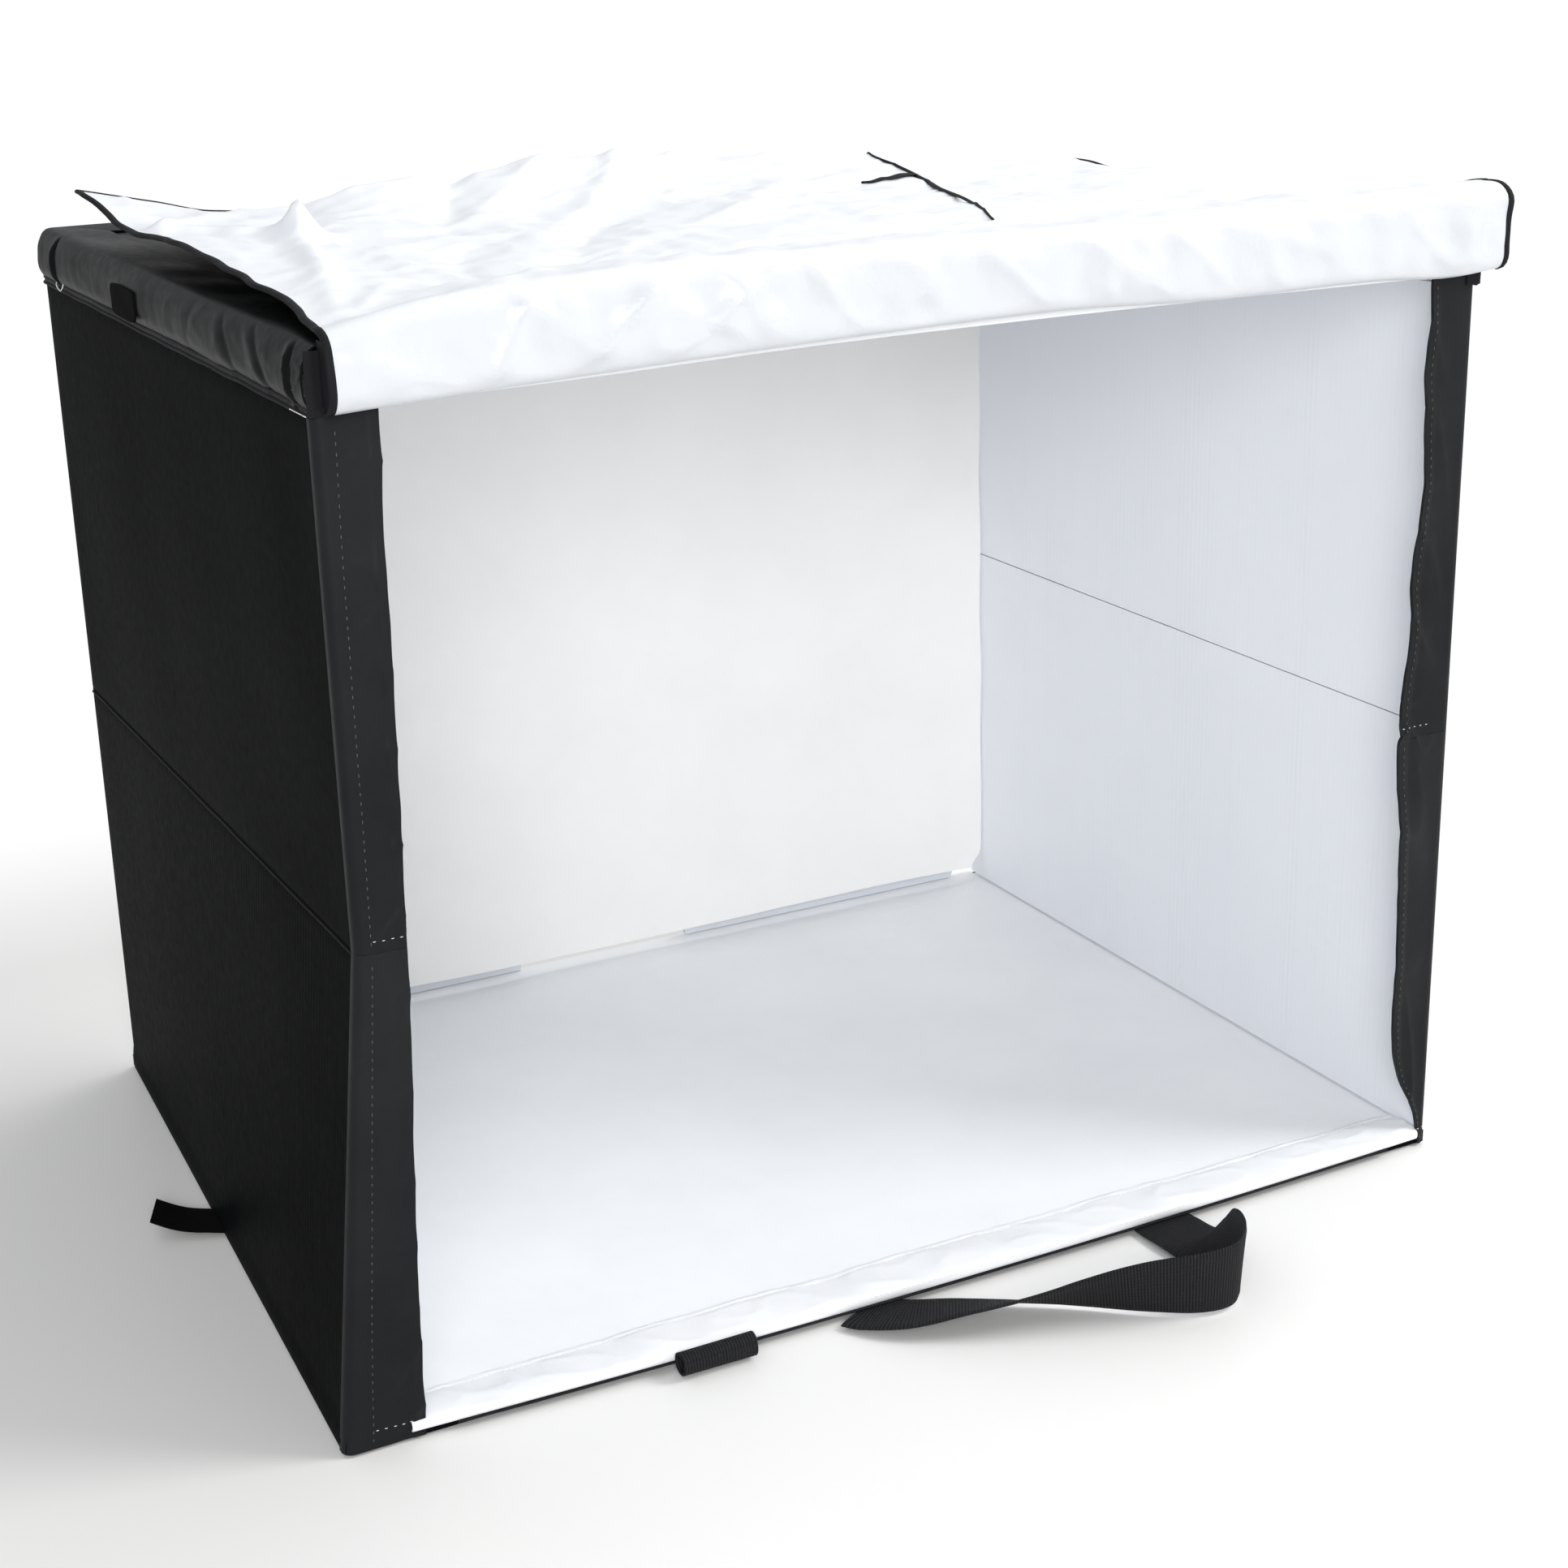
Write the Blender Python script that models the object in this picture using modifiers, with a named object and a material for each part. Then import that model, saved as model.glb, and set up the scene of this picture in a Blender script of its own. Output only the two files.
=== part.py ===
"""A fold-flat cloth and board enclosure with an open front.

Two stiff trays, the floor and the roof, are joined by side walls in two halves that fold inward. A door flap is
sewn to the roof's front header and lies thrown back over the roof. A curtain closes the rear.

Metres, +Z up, the opening faces -Y. The origin is the middle of the floor's underside.
"""
import math

import bmesh
import bpy

# overall sizes
WIDTH = 0.650
DEPTH = 0.510
HALF_W = WIDTH / 2
HALF_D = DEPTH / 2
GAP = 0.0003
FABRIC = 0.0012

# floor, from the underside up
FLOOR_BOARD_T = 0.0060
LINING_T = 0.0008
FLOOR_TOP = 0.0094
BINDING_W = 0.022
PIPING_R = 0.0016

# walls
BOARD_T = 0.0044
WALL_T = 0.0062
WALL_INNER = HALF_W - WALL_T
WALL_BACK_GAP = 0.0020
PIVOT_IN = 0.0002
HALF_LENGTH = 0.2505
PIVOT_LOW_Z = FLOOR_TOP + 0.0004
PIVOT_MID_Z = PIVOT_LOW_Z + HALF_LENGTH
PIVOT_TOP_Z = PIVOT_MID_Z + HALF_LENGTH
PIVOT_X = WALL_INNER - PIVOT_IN
PIVOT_MID_X = HALF_W + GAP
HINGE_GAP = 0.0004
FLANGE_W = 0.030
FLANGE_T = 0.0014

# roof tray
ROOF_LOW_Z = PIVOT_TOP_Z + HINGE_GAP
BAND_H = 0.029
ROOF_TOP_Z = ROOF_LOW_Z + BAND_H
ROOF_BOARD_T = 0.0045
RAIL_T = 0.0036
PATCH_Y = (0.020, 0.070)

# door flap
HINGE_Y = -HALF_D - 0.0135
HINGE_Z = ROOF_LOW_Z + 0.0045
STRIP_H = 0.049
PANEL_Z = HINGE_Z + STRIP_H
PANEL_LENGTH = 0.4545
PANEL_BACK_Y = HINGE_Y + PANEL_LENGTH
PIVOT_CLEAR = 0.0022
CLOTH_T = 0.0009
CLOTH_OFFSET = 0.0002
DOOR_LEFT = -0.312
DOOR_RIGHT = 0.330
EDGE_BINDING_W = 0.006
EDGE_BINDING_T = 0.0026

# rear curtain and sill tabs
CURTAIN_Y = HALF_D - 0.012
CURTAIN_T = 0.0014
CURTAIN_LOW_Z = FLOOR_TOP + 0.010
TAB_H = 0.026
TAB_T = 0.004
TAB_BACK_Y = HALF_D - 0.0010
TAB_LOW_Z = FLOOR_TOP + GAP
TAB_LEFT = (-0.300, -0.052)
TAB_RIGHT = (0.068, 0.306)

# webbing
WEB_W = 0.038
WEB_T = 0.0020
WEB_PIVOT_Y = -HALF_D - 0.0058
WEB_PIVOT_Z = 0.0016
HANDLE_LEFT_X = -0.066
HANDLE_RIGHT_X = 0.130
PULL_X = (-0.177, -0.135)
STRAP_Y = 0.006
STRAP_W = 0.029


def clear_scene():
    for item in list(bpy.data.objects):
        bpy.data.objects.remove(item, do_unlink=True)


def make_collection(name):
    found = bpy.data.collections.get(name) or bpy.data.collections.new(name)
    if name not in bpy.context.scene.collection.children:
        bpy.context.scene.collection.children.link(found)
    return found


clear_scene()
PARTS = make_collection("printer_enclosure_tent")
CUTTERS = make_collection("cutters")


def place(obj, collection):
    for owner in list(obj.users_collection):
        owner.objects.unlink(obj)
    collection.objects.link(obj)


def material(name, colour, roughness):
    mat = bpy.data.materials.new(name)
    mat.use_nodes = True
    shader = mat.node_tree.nodes["Principled BSDF"]
    shader.inputs["Base Color"].default_value = (*colour, 1.0)
    shader.inputs["Roughness"].default_value = roughness
    shader.inputs["Metallic"].default_value = 0.0
    mat.diffuse_color = (*colour, 1.0)
    return mat


LOOKS = {
    "nylon": ((0.018, 0.018, 0.020), 0.62),
    "board": ((0.80, 0.82, 0.86), 0.45),
    "lining": ((0.88, 0.89, 0.91), 0.28),
    "curtain": ((0.84, 0.84, 0.84), 0.80),
    "webbing": ((0.015, 0.015, 0.016), 0.78),
    "hook": ((0.020, 0.020, 0.021), 0.95),
}


def finish(obj, name, look):
    obj.name = name
    obj.data.name = name
    obj.data.materials.clear()
    obj.data.materials.append(material(name, *LOOKS[look]))
    place(obj, PARTS)
    return obj


def cube(low, high):
    size = [b - a for a, b in zip(low, high)]
    middle = [(a + b) / 2 for a, b in zip(low, high)]
    bpy.ops.mesh.primitive_cube_add(size=1.0, location=middle)
    obj = bpy.context.object
    obj.scale = size
    bpy.ops.object.transform_apply(location=False, rotation=False, scale=True)
    return obj


def box(name, look, low, high, bevel=0.0):
    obj = finish(cube(low, high), name, look)
    if bevel:
        mod = obj.modifiers.new("edges", "BEVEL")
        mod.width = bevel
        mod.segments = 1
        mod.limit_method = "ANGLE"
    return obj


def cut(obj, low, high):
    tool = cube(low, high)
    tool.name = obj.name + "_cutter"
    tool.hide_render = True
    tool.display_type = "WIRE"
    place(tool, CUTTERS)
    mod = obj.modifiers.new("cut", "BOOLEAN")
    mod.operation = "DIFFERENCE"
    mod.solver = "EXACT"
    mod.object = tool
    return obj


def pipe(name, look, points, radius):
    curve = bpy.data.curves.new(name, "CURVE")
    curve.dimensions = "3D"
    curve.bevel_depth = radius
    curve.bevel_resolution = 1
    curve.use_fill_caps = True
    spline = curve.splines.new("POLY")
    spline.points.add(len(points) - 1)
    for point, place_at in zip(spline.points, points):
        point.co = (*place_at, 1.0)
    obj = bpy.data.objects.new(name, curve)
    PARTS.objects.link(obj)
    curve.materials.append(material(name, *LOOKS[look]))
    return obj


def loft(name, look, sections):
    """A closed solid through rings of the same number of corners, with flat ends."""
    mesh = bpy.data.meshes.new(name)
    obj = bpy.data.objects.new(name, mesh)
    bm = bmesh.new()
    rings = [[bm.verts.new(corner) for corner in ring] for ring in sections]
    count = len(rings[0])
    for ring, after in zip(rings, rings[1:]):
        for i in range(count):
            j = (i + 1) % count
            bm.faces.new((ring[i], ring[j], after[j], after[i]))
    bm.faces.new(list(reversed(rings[0])))
    bm.faces.new(rings[-1])
    bmesh.ops.recalc_face_normals(bm, faces=bm.faces)
    bmesh.ops.triangulate(bm, faces=bm.faces, quad_method="SHORT_EDGE")
    bm.to_mesh(mesh)
    bm.free()
    return finish(obj, name, look)


def set_pivot(obj, x, y, z):
    """Moves an object's origin to its joint's axis and leaves its shape where it is."""
    shift = (x - obj.location.x, y - obj.location.y, z - obj.location.z)
    for vertex in obj.data.vertices:
        vertex.co.x -= shift[0]
        vertex.co.y -= shift[1]
        vertex.co.z -= shift[2]
    obj.location = (x, y, z)
    return obj


def smooth(low, high, value):
    t = min(1.0, max(0.0, (value - low) / (high - low)))
    return t * t * (3 - 2 * t)


def bump(x, y, at_x, at_y, wide_x, wide_y):
    return math.exp(-((x - at_x) / wide_x) ** 2 - ((y - at_y) / wide_y) ** 2)


# ---------------------------------------------------------------- floor
def build_floor():
    side = HALF_W - FABRIC
    cover_top = FABRIC + GAP + FLOOR_BOARD_T
    cover = box("floor_cover", "nylon", (-HALF_W, -HALF_D, 0.0), (HALF_W, HALF_D, cover_top))
    cut(cover, (-side, -HALF_D + FABRIC, FABRIC), (side, HALF_D - FABRIC, cover_top + 0.01))
    inset = side - GAP
    depth_in = HALF_D - FABRIC - GAP
    box(
        "floor_board", "board",
        (-inset, -depth_in, FABRIC + 2 * GAP),
        (inset, depth_in, FABRIC + GAP + FLOOR_BOARD_T - GAP),
    )
    lining_low = cover_top + GAP
    lining_edge = WALL_INNER - 0.0006
    box(
        "floor_lining", "lining",
        (-lining_edge, -HALF_D + BINDING_W + GAP, lining_low),
        (lining_edge, HALF_D, FLOOR_TOP),
    )
    box(
        "floor_front_binding", "lining",
        (-lining_edge, -HALF_D, lining_low),
        (lining_edge, -HALF_D + BINDING_W, FLOOR_TOP + 0.0002),
        bevel=0.0005,
    )
    front_y = -HALF_D - PIPING_R - GAP
    reach = HALF_W - FLANGE_W - 0.001
    points = [(-reach + 2 * reach * i / 12, front_y, 0.0022 + PIPING_R) for i in range(13)]
    pipe("floor_front_piping", "nylon", points, PIPING_R)


def build_sill_tab(name, ends):
    """A short upright board along the rear of the floor, hinged to fold flat outward."""
    slant = 0.008 if ends[0] > 0 else 0.0
    sections = []
    for y in (TAB_BACK_Y - TAB_T, TAB_BACK_Y):
        sections.append([
            (ends[0] + slant, y, TAB_LOW_Z),
            (ends[1] - slant, y, TAB_LOW_Z),
            (ends[1], y, TAB_LOW_Z + TAB_H),
            (ends[0], y, TAB_LOW_Z + TAB_H),
        ])
    set_pivot(loft(name, "board", sections), (ends[0] + ends[1]) / 2, TAB_BACK_Y, TAB_LOW_Z)


def build_handle_anchor(name, middle_x):
    """The sewn end of the webbing, in a pocket cut into the front of the floor board."""
    low = (middle_x - WEB_W / 2, -HALF_D + FABRIC + 2 * GAP, FABRIC + 3 * GAP)
    high = (middle_x + WEB_W / 2, -HALF_D + 0.034, FABRIC + 3 * GAP + WEB_T)
    box(name, "webbing", low, high)
    board = bpy.data.objects["floor_board"]
    pocket_low = (low[0] - GAP, low[1] - 0.01, 0.0)
    pocket_high = (high[0] + GAP, high[1] + GAP, high[2] + GAP)
    cut(board, pocket_low, pocket_high)


# ---------------------------------------------------------------- walls
def build_wall_half(side_name, sign, half_name):
    upper = half_name == "upper"
    low = PIVOT_MID_Z + HINGE_GAP if upper else PIVOT_LOW_Z + HINGE_GAP
    high = PIVOT_TOP_Z - HINGE_GAP if upper else PIVOT_MID_Z - HINGE_GAP
    label = f"{side_name}_{half_name}"
    pivot = (sign * (PIVOT_MID_X if upper else PIVOT_X), 0.0, PIVOT_MID_Z if upper else PIVOT_LOW_Z)
    inner, middle, outer = WALL_INNER, WALL_INNER + BOARD_T, HALF_W
    front, back = -HALF_D + 0.0003, HALF_D - WALL_BACK_GAP

    def span(a, b):
        return sorted((sign * a, sign * b))

    x0, x1 = span(inner, middle)
    set_pivot(box(label + "_board", "board", (x0, front, low), (x1, back, high)), *pivot)
    x0, x1 = span(middle + GAP, outer)
    set_pivot(box(label + "_cover", "nylon", (x0, front, low), (x1, back, high)), *pivot)
    flange_y = -HALF_D - 0.0004
    bottom = low if upper else 0.0012
    x_out, x_in = sign * outer, sign * (outer - FLANGE_W)
    belly = 0.0010
    sections = []
    steps = 8
    for i in range(steps + 1):
        t = i / steps
        z = bottom + (high - bottom) * t
        y = flange_y - belly * math.sin(math.pi * t)
        sections.append([
            (x_out, y - FLANGE_T, z),
            (x_in, y - FLANGE_T, z),
            (x_in, y, z),
            (x_out, y, z),
        ])
    set_pivot(loft(label + "_flange", "nylon", sections), *pivot)


# ---------------------------------------------------------------- roof
def build_roof():
    low = ROOF_LOW_Z
    top = ROOF_TOP_Z
    cover = box("roof_cover", "nylon", (-HALF_W, -HALF_D, low), (HALF_W, HALF_D, top))
    side = HALF_W - FABRIC
    cut(cover, (-side, -HALF_D - 0.01, low - 0.01), (side, HALF_D - FABRIC, top - FABRIC))
    board_top = top - FABRIC - GAP
    board_low = board_top - ROOF_BOARD_T
    inset = side - GAP
    back_in = HALF_D - FABRIC - GAP
    box("roof_board", "board", (-inset, -HALF_D, board_low), (inset, back_in, board_top))
    lining_top = board_low - GAP
    lining_low = lining_top - LINING_T
    box(
        "roof_lining", "lining",
        (-inset, -HALF_D + RAIL_T + 2 * GAP, lining_low),
        (inset, back_in, lining_top),
    )
    rail_top = lining_low - GAP
    rail_low = low + 0.0006
    front_back = -HALF_D + RAIL_T
    box("roof_header", "board", (-inset, -HALF_D, low), (inset, front_back, lining_top))
    for name, sign in (("left", -1), ("right", 1)):
        x0, x1 = sorted((sign * inset, sign * (inset - RAIL_T)))
        box(f"roof_{name}_rail", "board", (x0, front_back + GAP, rail_low), (x1, back_in, rail_top))
    rear_reach = inset - RAIL_T - GAP
    box(
        "roof_rear_rail", "board",
        (-rear_reach, back_in - RAIL_T, rail_low),
        (rear_reach, back_in, rail_top),
    )
    out = HALF_W + PIPING_R + GAP
    behind = HALF_D + PIPING_R + GAP
    z = low + PIPING_R
    corner = 0.0011
    route = [(-out, -HALF_D, z), (-out, 0.0, z), (-out, behind - corner, z), (-out + corner, behind, z)]
    route += [(out - corner, behind, z), (out, behind - corner, z), (out, 0.0, z), (out, -HALF_D, z)]
    pipe("roof_band_piping", "nylon", route, PIPING_R)
    patch_x = -HALF_W - GAP
    patch_low = low + 0.0058
    box(
        "closure_patch", "hook",
        (patch_x - 0.0012, PATCH_Y[0], patch_low),
        (patch_x, PATCH_Y[1], patch_low + 0.020),
    )
    box(
        "door_seam_tape", "nylon",
        (-HALF_W + 0.004, HINGE_Y + 0.0026, HINGE_Z - 0.0006),
        (HALF_W - 0.004, -HALF_D - GAP, HINGE_Z + 0.0006),
    )
    box(
        "curtain_heading", "curtain",
        (-rear_reach + 0.002, CURTAIN_Y + CURTAIN_T / 2 + GAP, rail_low + 0.004),
        (rear_reach - 0.002, back_in - RAIL_T - GAP, rail_top - 0.001),
    )


# ---------------------------------------------------------------- door flap
def door_height(x, y):
    """Height of the flap's middle surface as it lies thrown back over the roof."""
    back = smooth(PANEL_BACK_Y - 0.22, PANEL_BACK_Y, y)
    front = 1.0 - smooth(HINGE_Y, HINGE_Y + 0.10, y)
    rest_z = ROOF_TOP_Z + 0.0085
    height = rest_z + (PANEL_Z - rest_z) * front
    crest = 0.021 * bump(x, y, -0.02, PANEL_BACK_Y, 0.17, 0.13)
    corner = 0.019 * bump(x, y, -0.315, PANEL_BACK_Y + 0.01, 0.042, 0.09)
    ridge = 0.010 * bump(x, y, 0.10, 0.02, 0.30, 0.12)
    fold = 0.006 * bump(x, y, -0.255, -0.150, 0.022, 0.07) + 0.005 * bump(x, y, -0.19, 0.03, 0.04, 0.06)
    sag = 0.004 * bump(x, y, -0.20, -0.05, 0.07, 0.08)
    keep = 1.0 - front
    return height + keep * (crest + corner + ridge + fold - sag) * (0.55 + 0.45 * back)


def door_left(y):
    """The flap's left edge: full width at the header, a little inboard over the roof, out again at its corner."""
    draw_in = smooth(HINGE_Y, HINGE_Y + 0.09, y)
    corner = smooth(PANEL_BACK_Y - 0.10, PANEL_BACK_Y, y)
    return DOOR_LEFT - 0.008 * (1 - draw_in) - 0.004 * corner


def slab(name, look, low_offset, high_offset, pivot):
    """One layer of the flap: rings across the width, at steps along the length."""
    across, along = 22, 16
    start_y = HINGE_Y + PIVOT_CLEAR
    sections = []
    for j in range(along + 1):
        y = start_y + (PANEL_BACK_Y - start_y) * j / along
        left = door_left(y)
        xs = [left + (DOOR_RIGHT - left) * i / across for i in range(across + 1)]
        lower = [(x, y, door_height(x, y) + low_offset) for x in xs]
        upper = [(x, y, door_height(x, y) + high_offset) for x in reversed(xs)]
        sections.append(lower + upper)
    return set_pivot(loft(name, look, sections), *pivot)


def build_edge_binding(name, pivot):
    """A tape round the flap's two sides and its free edge, just outside the two layers."""
    clear = GAP
    half_t = EDGE_BINDING_T / 2
    start_y = HINGE_Y + PIVOT_CLEAR
    end_y = PANEL_BACK_Y
    steps = 14
    path = []
    for j in range(steps + 1):
        y = start_y + (end_y - start_y) * j / steps
        path.append((door_left(y) - clear, y, -1, 0))
    left, right = door_left(end_y) - clear, DOOR_RIGHT + clear
    path[-1] = (left, end_y + clear, -1, 1)
    for i in range(1, steps + 4):
        x = left + (right - left) * i / (steps + 4)
        path.append((x, end_y + clear, 0, 1))
    path.append((right, end_y + clear, 1, 1))
    for j in range(1, steps + 1):
        y = end_y + (start_y - end_y) * j / steps
        path.append((right, y, 1, 0))
    sections = []
    for x, y, out_x, out_y in path:
        z = door_height(x, min(y, end_y))
        ox, oy = x + out_x * EDGE_BINDING_W, y + out_y * EDGE_BINDING_W
        sections.append([(x, y, z - half_t), (x, y, z + half_t), (ox, oy, z + half_t), (ox, oy, z - half_t)])
    return set_pivot(loft(name, "nylon", sections), *pivot)


def build_corner_fold(name, pivot):
    """The tucked corner of the flap's edge, lying on the lining near the back right."""
    steps = 12
    sections = []
    for i in range(steps + 1):
        t = i / steps
        x = 0.190 - 0.075 * t * t
        y = PANEL_BACK_Y - 0.010 - 0.290 * t
        width = 0.0030 + 0.004 * math.sin(math.pi * t)
        low = door_height(x, y) + CLOTH_OFFSET + CLOTH_T + 0.0016
        sections.append([
            (x - width, y, low),
            (x + width, y, low),
            (x + width, y, low + 0.0016),
            (x - width, y, low + 0.0016),
        ])
    return set_pivot(loft(name, "nylon", sections), *pivot)


def build_door():
    hinge = (0.0, HINGE_Y, HINGE_Z)
    pivot = (0.0, HINGE_Y, PANEL_Z)
    low = HINGE_Z + PIVOT_CLEAR
    high = PANEL_Z - PIVOT_CLEAR
    front = HINGE_Y - CLOTH_OFFSET - CLOTH_T
    back = HINGE_Y + CLOTH_OFFSET + CLOTH_T
    left, right = -0.322, 0.334
    lining = box("door_strip_lining", "lining", (left, front, low), (right, HINGE_Y - CLOTH_OFFSET, high))
    outer = box("door_strip_outer", "nylon", (left, HINGE_Y + CLOTH_OFFSET, low), (right, back, high))
    set_pivot(lining, *hinge)
    set_pivot(outer, *hinge)
    slab("door_panel_lining", "lining", CLOTH_OFFSET, CLOTH_OFFSET + CLOTH_T, pivot)
    slab("door_panel_outer", "nylon", -CLOTH_OFFSET - CLOTH_T, -CLOTH_OFFSET, pivot)
    build_edge_binding("door_edge_binding", pivot)
    build_corner_fold("door_corner_fold", pivot)


# ---------------------------------------------------------------- rear curtain
def build_curtain():
    reach = WALL_INNER - 0.0050
    top = ROOF_LOW_Z + BAND_H - FABRIC - ROOF_BOARD_T - LINING_T - 0.0030
    sections = []
    steps = 20
    for i in range(steps + 1):
        x = -reach + 2 * reach * i / steps
        wave = 0.0016 * math.sin(x * 24.0) + 0.0006 * math.sin(x * 61.0 + 1.0)
        low_y = CURTAIN_Y - 0.0045 + wave
        top_y = CURTAIN_Y - 0.0006
        half = CURTAIN_T / 2
        sections.append([
            (x, low_y - half, CURTAIN_LOW_Z),
            (x, low_y + half, CURTAIN_LOW_Z),
            (x, top_y + half, top),
            (x, top_y - half, top),
        ])
    set_pivot(loft("rear_curtain", "curtain", sections), 0.0, CURTAIN_Y, top)


# ---------------------------------------------------------------- webbing
def ribbon(name, stations, pivot):
    """A tape through stations of (x, y, z, heading, tilt): heading turns its width in plan, tilt stands it on edge."""
    sections = []
    for x, y, z, heading, tilt in stations:
        h, t = math.radians(heading), math.radians(tilt)
        across = (math.sin(h) * math.cos(t), -math.cos(h) * math.cos(t), math.sin(t))
        normal = (-math.sin(h) * math.sin(t), math.cos(h) * math.sin(t), math.cos(t))
        ring = []
        for a, b in ((-1, -1), (1, -1), (1, 1), (-1, 1)):
            ring.append(tuple(
                c + a * WEB_W / 2 * p + b * WEB_T / 2 * q
                for c, p, q in zip((x, y, z), across, normal)
            ))
        sections.append(ring)
    return set_pivot(loft(name, "webbing", sections), *pivot)


def build_handle():
    """A loop of webbing that lies on the table, flat at its two ends and standing on edge at its far bend."""
    root_y = WEB_PIVOT_Y - 0.0008
    stations = [
        (HANDLE_LEFT_X, root_y, WEB_PIVOT_Z, -90, 0),
        (-0.062, -0.268, 0.0020, -82, 2),
        (-0.048, -0.282, 0.0044, -62, 7),
        (-0.024, -0.296, 0.0085, -42, 16),
        (0.006, -0.312, 0.0120, -28, 32),
        (0.034, -0.327, 0.0160, -26, 52),
        (0.062, -0.343, 0.0194, -28, 72),
        (0.088, -0.356, 0.0208, -18, 84),
        (0.108, -0.357, 0.0210, 18, 88),
        (0.122, -0.345, 0.0208, 62, 84),
        (0.129, -0.325, 0.0185, 84, 66),
        (0.131, -0.305, 0.0105, 90, 32),
        (0.131, -0.290, 0.0036, 92, 4),
        (HANDLE_RIGHT_X, -0.270, 0.0020, 92, 1),
        (HANDLE_RIGHT_X, root_y, WEB_PIVOT_Z, 90, 0),
    ]
    ribbon("carry_handle", stations, (0.0, WEB_PIVOT_Y, WEB_PIVOT_Z))


def build_pull_loop():
    """A short piece of webbing rolled into a tube, sewn along the floor's front edge."""
    radius, hole = 0.0066, 0.0043
    middle_y, middle_z = WEB_PIVOT_Y - 0.0006 - radius, radius + 0.0004
    bpy.ops.mesh.primitive_cylinder_add(
        vertices=16, radius=radius, depth=PULL_X[1] - PULL_X[0],
        location=((PULL_X[0] + PULL_X[1]) / 2, middle_y, middle_z), rotation=(0, math.pi / 2, 0),
    )
    tube = bpy.context.object
    bpy.ops.object.transform_apply(location=False, rotation=True, scale=False)
    finish(tube, "pull_loop", "webbing")
    bpy.ops.mesh.primitive_cylinder_add(
        vertices=16, radius=hole, depth=PULL_X[1] - PULL_X[0] + 0.02,
        location=((PULL_X[0] + PULL_X[1]) / 2, middle_y, middle_z), rotation=(0, math.pi / 2, 0),
    )
    tool = bpy.context.object
    tool.name = "pull_loop_cutter"
    tool.hide_render = True
    tool.display_type = "WIRE"
    place(tool, CUTTERS)
    mod = tube.modifiers.new("bore", "BOOLEAN")
    mod.operation = "DIFFERENCE"
    mod.solver = "EXACT"
    mod.object = tool
    set_pivot(tube, (PULL_X[0] + PULL_X[1]) / 2, WEB_PIVOT_Y, WEB_PIVOT_Z)


def build_strap():
    """A flat closure strap, sewn under the left edge of the floor, lying outward on the table."""
    pivot_x = -HALF_W - 0.0022
    y0, y1 = STRAP_Y - STRAP_W / 2, STRAP_Y + STRAP_W / 2
    sections = []
    steps = 6
    for i in range(steps + 1):
        t = i / steps
        x = pivot_x - 0.0008 - 0.044 * t
        z = 0.0014 + 0.010 * t * t
        shift = 0.018 * t
        sections.append([
            (x, y0 + shift, z - 0.0008),
            (x, y1 + shift, z - 0.0008),
            (x, y1 + shift, z + 0.0008),
            (x, y0 + shift, z + 0.0008),
        ])
    set_pivot(loft("closure_strap", "hook", sections), pivot_x, STRAP_Y, 0.0014)


build_floor()
build_sill_tab("sill_tab_left", TAB_LEFT)
build_sill_tab("sill_tab_right", TAB_RIGHT)
build_handle_anchor("handle_anchor_left", HANDLE_LEFT_X)
build_handle_anchor("handle_anchor_right", HANDLE_RIGHT_X)
for wall_side, wall_sign in (("left", -1), ("right", 1)):
    for wall_half in ("lower", "upper"):
        build_wall_half(wall_side, wall_sign, wall_half)
build_roof()
build_door()
build_curtain()
build_handle()
build_pull_loop()
build_strap()
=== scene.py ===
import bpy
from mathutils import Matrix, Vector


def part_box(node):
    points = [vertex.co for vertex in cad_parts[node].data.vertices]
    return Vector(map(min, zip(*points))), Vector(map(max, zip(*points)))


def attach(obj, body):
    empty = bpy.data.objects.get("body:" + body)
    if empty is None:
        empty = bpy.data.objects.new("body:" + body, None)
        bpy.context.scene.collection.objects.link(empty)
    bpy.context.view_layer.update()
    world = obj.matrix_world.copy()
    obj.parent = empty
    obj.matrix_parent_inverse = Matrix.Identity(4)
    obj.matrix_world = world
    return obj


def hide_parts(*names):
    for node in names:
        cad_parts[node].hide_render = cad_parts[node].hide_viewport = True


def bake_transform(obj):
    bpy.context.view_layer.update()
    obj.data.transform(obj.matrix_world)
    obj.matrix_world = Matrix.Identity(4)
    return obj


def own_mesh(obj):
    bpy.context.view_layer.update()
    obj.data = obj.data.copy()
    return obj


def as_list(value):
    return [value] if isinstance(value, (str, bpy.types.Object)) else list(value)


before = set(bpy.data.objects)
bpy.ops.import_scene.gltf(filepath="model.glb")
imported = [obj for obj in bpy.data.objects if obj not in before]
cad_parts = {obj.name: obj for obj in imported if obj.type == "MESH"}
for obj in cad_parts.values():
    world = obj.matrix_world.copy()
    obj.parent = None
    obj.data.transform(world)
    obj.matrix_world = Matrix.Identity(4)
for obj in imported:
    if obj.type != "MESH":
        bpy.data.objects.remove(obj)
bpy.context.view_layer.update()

# The looks of a fold-flat cloth and board enclosure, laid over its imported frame. Metres, +Z up, the opening
# faces -Y. Each cloth piece is a closed thin sheet, shaped point by point over a grid.
import math

import bpy
import numpy as np
from mathutils import Matrix, Vector

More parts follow.
